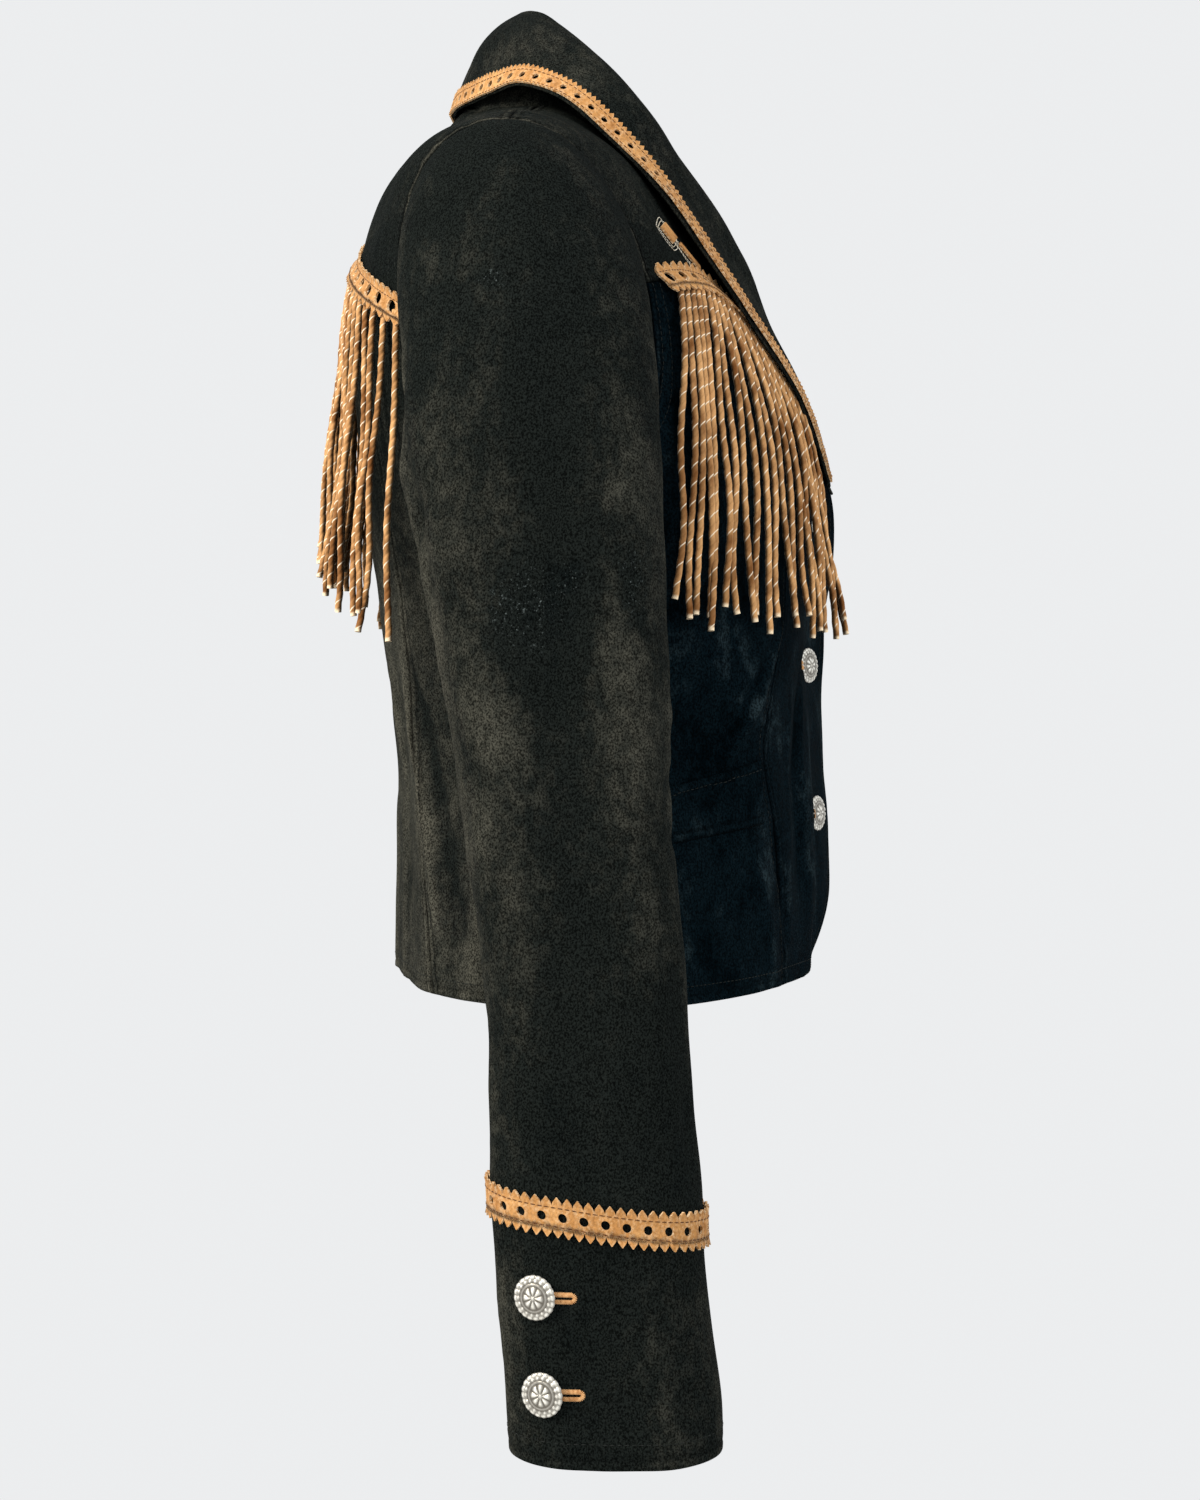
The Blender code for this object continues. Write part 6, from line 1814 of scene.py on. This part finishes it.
rows = []
for side in (-1, 1):
    for off in (STITCH_LINE, 0.01):
        for back in (False, True):
            angles = np.linspace(math.radians(4), math.radians(176), 160)
            wide = 1 + off / 0.078
            theta, v = armhole(-angles if back else angles)
            theta = math.pi / 2 + (theta - math.pi / 2) * (1 + off / 0.055)
            v = ARM_V_MIDDLE + (v - ARM_V_MIDDLE) * wide
            rows.append(body_row(theta, v, side))
    for seam, low, high, count, aside, level in (
            (princess, 0.004, 0.74, 240, STITCH_LINE, None),
            (lambda v: princess(v, True), 0.004, 0.74, 240, -STITCH_LINE, None),
            (lambda v: side_edge(v, True), 0.004, 0.55, 200, STITCH_LINE, None),
            (free_front_edge, 0.002, 0.55, 240, 0.007, front_lift)):
        v = np.linspace(low, high, count)
        rows.append(body_row(beside(seam(v), v, aside), v, side, level=level))
    theta = np.linspace(float(free_front_edge(np.array(0.016))) + 0.06, math.pi, 320)
    rows.append(body_row(theta, 0.016, side, level=front_lift))
    v = np.linspace(0.885, 0.99, 60)
    rows.append(body_row(beside(math.pi / 2, v, -0.0035), v, side))
    theta, _, top = pocket(np.linspace(0.02, 0.98, 80))
    rows.append(body_row(theta, top - 0.01, side, FRINGE_GAP + SUEDE + THREAD_RISE))
    t = np.linspace(0.02, 0.99, 300)
    for seam, away in ((SLEEVE_SEAMS[1] - math.tau, 1), (SLEEVE_SEAMS[0], -1)):
        rows.append(row_on(sleeve, seam + away * 0.004 / 0.045, t, side))
    rows.append(row_on(sleeve, np.linspace(0, math.tau, 300), 0.981, side))
    rows.append(row_on(collar(side), np.linspace(0.0, 0.985, 300), 0.985, side))
stitches("seam_stitches", rows, black_thread, 0.00045,
         [made for made in bpy.data.objects if "_panel" in made.name])

# %% [markdown]
# ## Buttons
#
# Seven shank buttons of antique silver, domed, with a beaded rim, a ring of small
# raised points and a flower of eight petals. The face of such a button is pressed in a
# die, so here it is one height over a disc: a dome, plus beads, rings, points and
# petals. Whatever lies deep keeps its tarnish.

# %% The pressed face
PETALS, POINTS, BEADS = 8, 18, 20


def face_height(radius, angle):
    """Height of the button's face over its rim, in metres, at a share of its radius."""
    dome = 0.0017 * (1 - radius ** 2)
    bead = np.abs(np.cos(angle * BEADS / 2)) ** 0.7
    ring = 0.00055 * (bead - 0.1) * np.exp(-((radius - 0.91) / 0.06) ** 2)
    inner_ring = 0.00028 * np.exp(-((radius - 0.6) / 0.03) ** 2)
    point = np.abs((angle * POINTS / math.tau) % 1.0 - 0.5) * 2
    points = 0.00055 * np.clip(1 - point * 1.2 - np.abs(radius - 0.76) / 0.12, 0, 1)
    petal = np.abs(np.sin(angle * PETALS / 2))
    flower = 0.0006 * np.clip(petal * 1.25 - 0.25, 0, 1) * np.clip(
        1 - ((radius - 0.3) / 0.2) ** 2, 0, 1)
    centre = 0.0005 * np.exp(-(radius / 0.085) ** 2)
    sunk = -0.0003 * ease((0.7 - radius) / 0.05) - 0.00018 * ease((radius - 0.64) / 0.04)
    return dome, ring + inner_ring + points + flower + centre + sunk


def ringed_faces(rings, count):
    """Faces of a closed shell made of rings, each of count points, with two caps."""
    return ([(r * count + k, r * count + (k + 1) % count, (r + 1) * count + (k + 1) % count,
              (r + 1) * count + k) for r in range(rings - 1) for k in range(count)]
            + [tuple(range(count)), tuple(range((rings - 1) * count, rings * count))])


def stands_for(piece, node):
    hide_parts(node)
    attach(piece, "root")


def silver_button(name, node, seat, normal, foot, side):
    rings, turns = 22, 120
    angle = math.tau * np.arange(turns) / turns
    radius = np.linspace(0.03, 1.0, rings)
    rr, aa = np.meshgrid(radius, angle, indexing="ij")
    dome, relief = face_height(rr, aa)
    rim = 1 - 0.028 * (1 - np.abs(np.cos(angle * BEADS / 2)))  # the beads stand out from it
    profile = [(BUTTON_RADIUS * r * (1 + (rim - 1) * ease((r - 0.7) / 0.3)), 0.0028 + d + f)
               for r, d, f in zip(rr, dome, relief)]
    profile += [(r * rim, np.full(turns, h)) for r, h in (
        (BUTTON_RADIUS * 1.005, 0.0024), (BUTTON_RADIUS * 0.96, 0.0019), (0.0046, 0.0016),
        (0.0025, 0.0014), (0.0022, foot - 0.0003))]
    points = np.array([np.stack([r * np.cos(angle), r * np.sin(angle), h], -1)
                       for r, h in profile])
    turn = Vector((0, 0, 1)).rotation_difference(Vector(normal)).to_matrix()
    placed = mirrored(points.reshape(-1, 3) @ np.array(turn).T + seat, side)
    piece = new_mesh_object(name, placed, ringed_faces(len(points), turns), button_silver)
    piece.data.set_sharp_from_angle(angle=math.radians(48))
    deep = np.clip(0.42 - relief / 0.00055, 0, 1) ** 0.8
    paint(piece, "recess", np.concatenate([deep.ravel(), np.full(5 * turns, 0.5)]))
    stands_for(piece, node)


def sleeve_at(y, z):
    """phi and t of the place on the sleeve's outer side at (y, z)."""
    t, phi = float(sleeve_height(z)), 0.0
    for _ in range(40):
        here = sleeve(phi, t)
        phi += float(np.clip((here[1] - y) * 20.0, -0.2, 0.2))
        t = min(1.0, t + float(here[2] - z))
    return phi, t


# %% Buttons and their worked holes
def buttonhole(surface, a, b, ahead, length, side):
    """Threads of a worked buttonhole whose slit runs from a button towards ahead, a
    step in (a, b) for one metre."""
    rows = []
    for edge in (-1, 1):
        s = np.arange(-0.004, length, 0.00045)
        places, normals = on_surface(surface, a + ahead[0] * s, b + ahead[1] * s)
        along = unit(np.gradient(places, axis=0))
        across = unit(np.cross(normals, along))
        middle = places + normals * 0.0004 + across * edge * 0.00155
        rows.append((mirrored(middle, side),
                     mirrored(unit(across + normals * -0.22 * edge) * 0.0024, side)))
    end = lifted(surface, a + ahead[0] * length, b + ahead[1] * length, 0.0004)
    fan = np.linspace(-1.4, 1.4, 9)[:, None]
    spokes = unit(along[-1] * np.cos(fan) + across[-1] * np.sin(fan))
    rows.append((mirrored(end + spokes * 0.00145, side), mirrored(spokes * 0.0022, side)))
    return rows


FRONT_BUTTON_LEAN = (0.42, 0.0, 0.0)  # the heavy buttons lean outwards on their shanks
holes = []
for name, (z, foot) in FRONT_BUTTONS.items():
    theta, v = (float(a) for a in body_at(-BUTTON_X, z))
    around = [lifted(front(-1), theta + i * 0.07, v + j * 0.015, level)
              for level in (1e-3, 0.0) for i in (-1, 0, 1) for j in (-1, 0, 1)]
    normal = unit(np.sum(around[:9], axis=0) - np.sum(around[9:], axis=0))
    normal = unit(normal + np.array(FRONT_BUTTON_LEAN))
    silver_button(f"front_silver_button_{name}", f"front_button_{name}", front(-1)(theta, v),
                  normal, foot, -1)
    rate = np.linalg.norm(body(theta + 1e-3, v) - body(theta, v)) / 1e-3
    holes += buttonhole(front(-1), theta, v, (1 / rate, 0.0), 0.0145, -1)
for side, tag in SIDES:
    for name, (y, z, foot) in CUFF_BUTTONS.items():
        phi, t = sleeve_at(y, z)
        seat, normal = on_surface(sleeve, phi, t)
        silver_button(f"cuff_silver_button_{name}_{tag}", f"cuff_button_{name}_{tag}", seat,
                      normal, foot, side)
        rate = np.linalg.norm(sleeve(phi + 1e-3, t) - sleeve(phi, t)) / 1e-3
        holes += buttonhole(sleeve, phi, t, (1 / rate, 0.0), 0.015, side)
stitches("worked_buttonholes", holes, tan_thread, 0.00062)

# %% [markdown]
# ## Inlays on the front yokes
#
# Each front yoke carries a small lozenge and bar in tan suede, inside a double outline
# of pale thread.

# %% Inlays
def inlay(name, outline, node, side):
    """A small flat piece from its outline, in rings that shrink to its middle."""
    theta0, v0 = (float(a) for a in body_at(INLAY_AT["x"], INLAY_AT["z"]))
    step = 1e-3
    theta_rate = np.linalg.norm(body(theta0 + step, v0) - body(theta0, v0)) / step
    v_rate = np.linalg.norm(body(theta0, v0 + step) - body(theta0, v0)) / step
    corners = np.array(outline)
    ring = np.vstack([corner + (after - corner) * np.linspace(0, 1, 9)[:-1, None]
                      for corner, after in zip(corners, np.roll(corners, -1, 0))])
    middle = corners.mean(axis=0)

    def at(plan, level):
        theta, v = theta0 - plan[:, 0] / theta_rate, v0 + plan[:, 1] / v_rate
        return mirrored(lifted(body, theta, v, level), side)

    levels = ((1.0, 0.0), (1.0, 0.55), (0.985, 0.85), (0.95, 1.0), (0.6, 1.0), (0.2, 1.0))
    points = [at(middle + (ring - middle) * scale, 0.0004 + TAN_SUEDE * level)
              for scale, level in levels]
    piece = new_mesh_object(name, np.vstack(points), ringed_faces(len(levels), len(ring)),
                            tan_suede)
    piece.data.set_sharp_from_angle(angle=math.radians(50))
    paint(piece, "edge", np.repeat((1.0, 0.9, 0.3, 0.0, 0.0, 0.0), len(ring)))
    stands_for(piece, node)
    closed = np.vstack([ring, ring[:1]])
    away = unit(closed - middle)
    return [sewn_along(at(closed + away * apart, 0.0004), 0.0019, 0.0018)
            for apart in (0.0017, 0.0037)]


rows = []
for side, tag in SIDES:
    rows += inlay(f"lozenge_{tag}", LOZENGE, f"inlay_lozenge_{tag}", side)
    rows += inlay(f"bar_{tag}", BAR, f"inlay_bar_{tag}", side)
stitches("inlay_stitches", rows, pale_thread, 0.0005,
         [bpy.data.objects[f"front_yoke_panel_{tag}"] for tag in ("left", "right")])

# %% [markdown]
# ## Which imported node each piece stands for
#
# Every cloth replaces its own node and moves with the jacket's one body.

# %% Each piece in place of its node
REPLACED = {}
for tag in ("left", "right"):
    for node in ("front", "side_front", "side_back", "front_yoke", "over_sleeve",
                 "under_sleeve", "pocket_welt"):
        REPLACED[f"{node}_panel_{tag}"] = f"{node}_{tag}"
REPLACED.update(back_panel="back", back_yoke_panel="back_yoke", collar_panel="collar")
TRIMS = {"back_trim": "back_band", "back_cords": "back_fringe"}
for tag in ("left", "right"):
    TRIMS[f"front_cords_{tag}"] = f"front_fringe_{tag}"
    for place in ("collar", "front", "cuff"):
        TRIMS[f"{place}_trim_{tag}"] = f"{place}_band_{tag}"
for group, slot in ((REPLACED, "black_suede"), (TRIMS, "tan_suede")):
    for name, node in group.items():
        stands_for(bpy.data.objects[name], node)
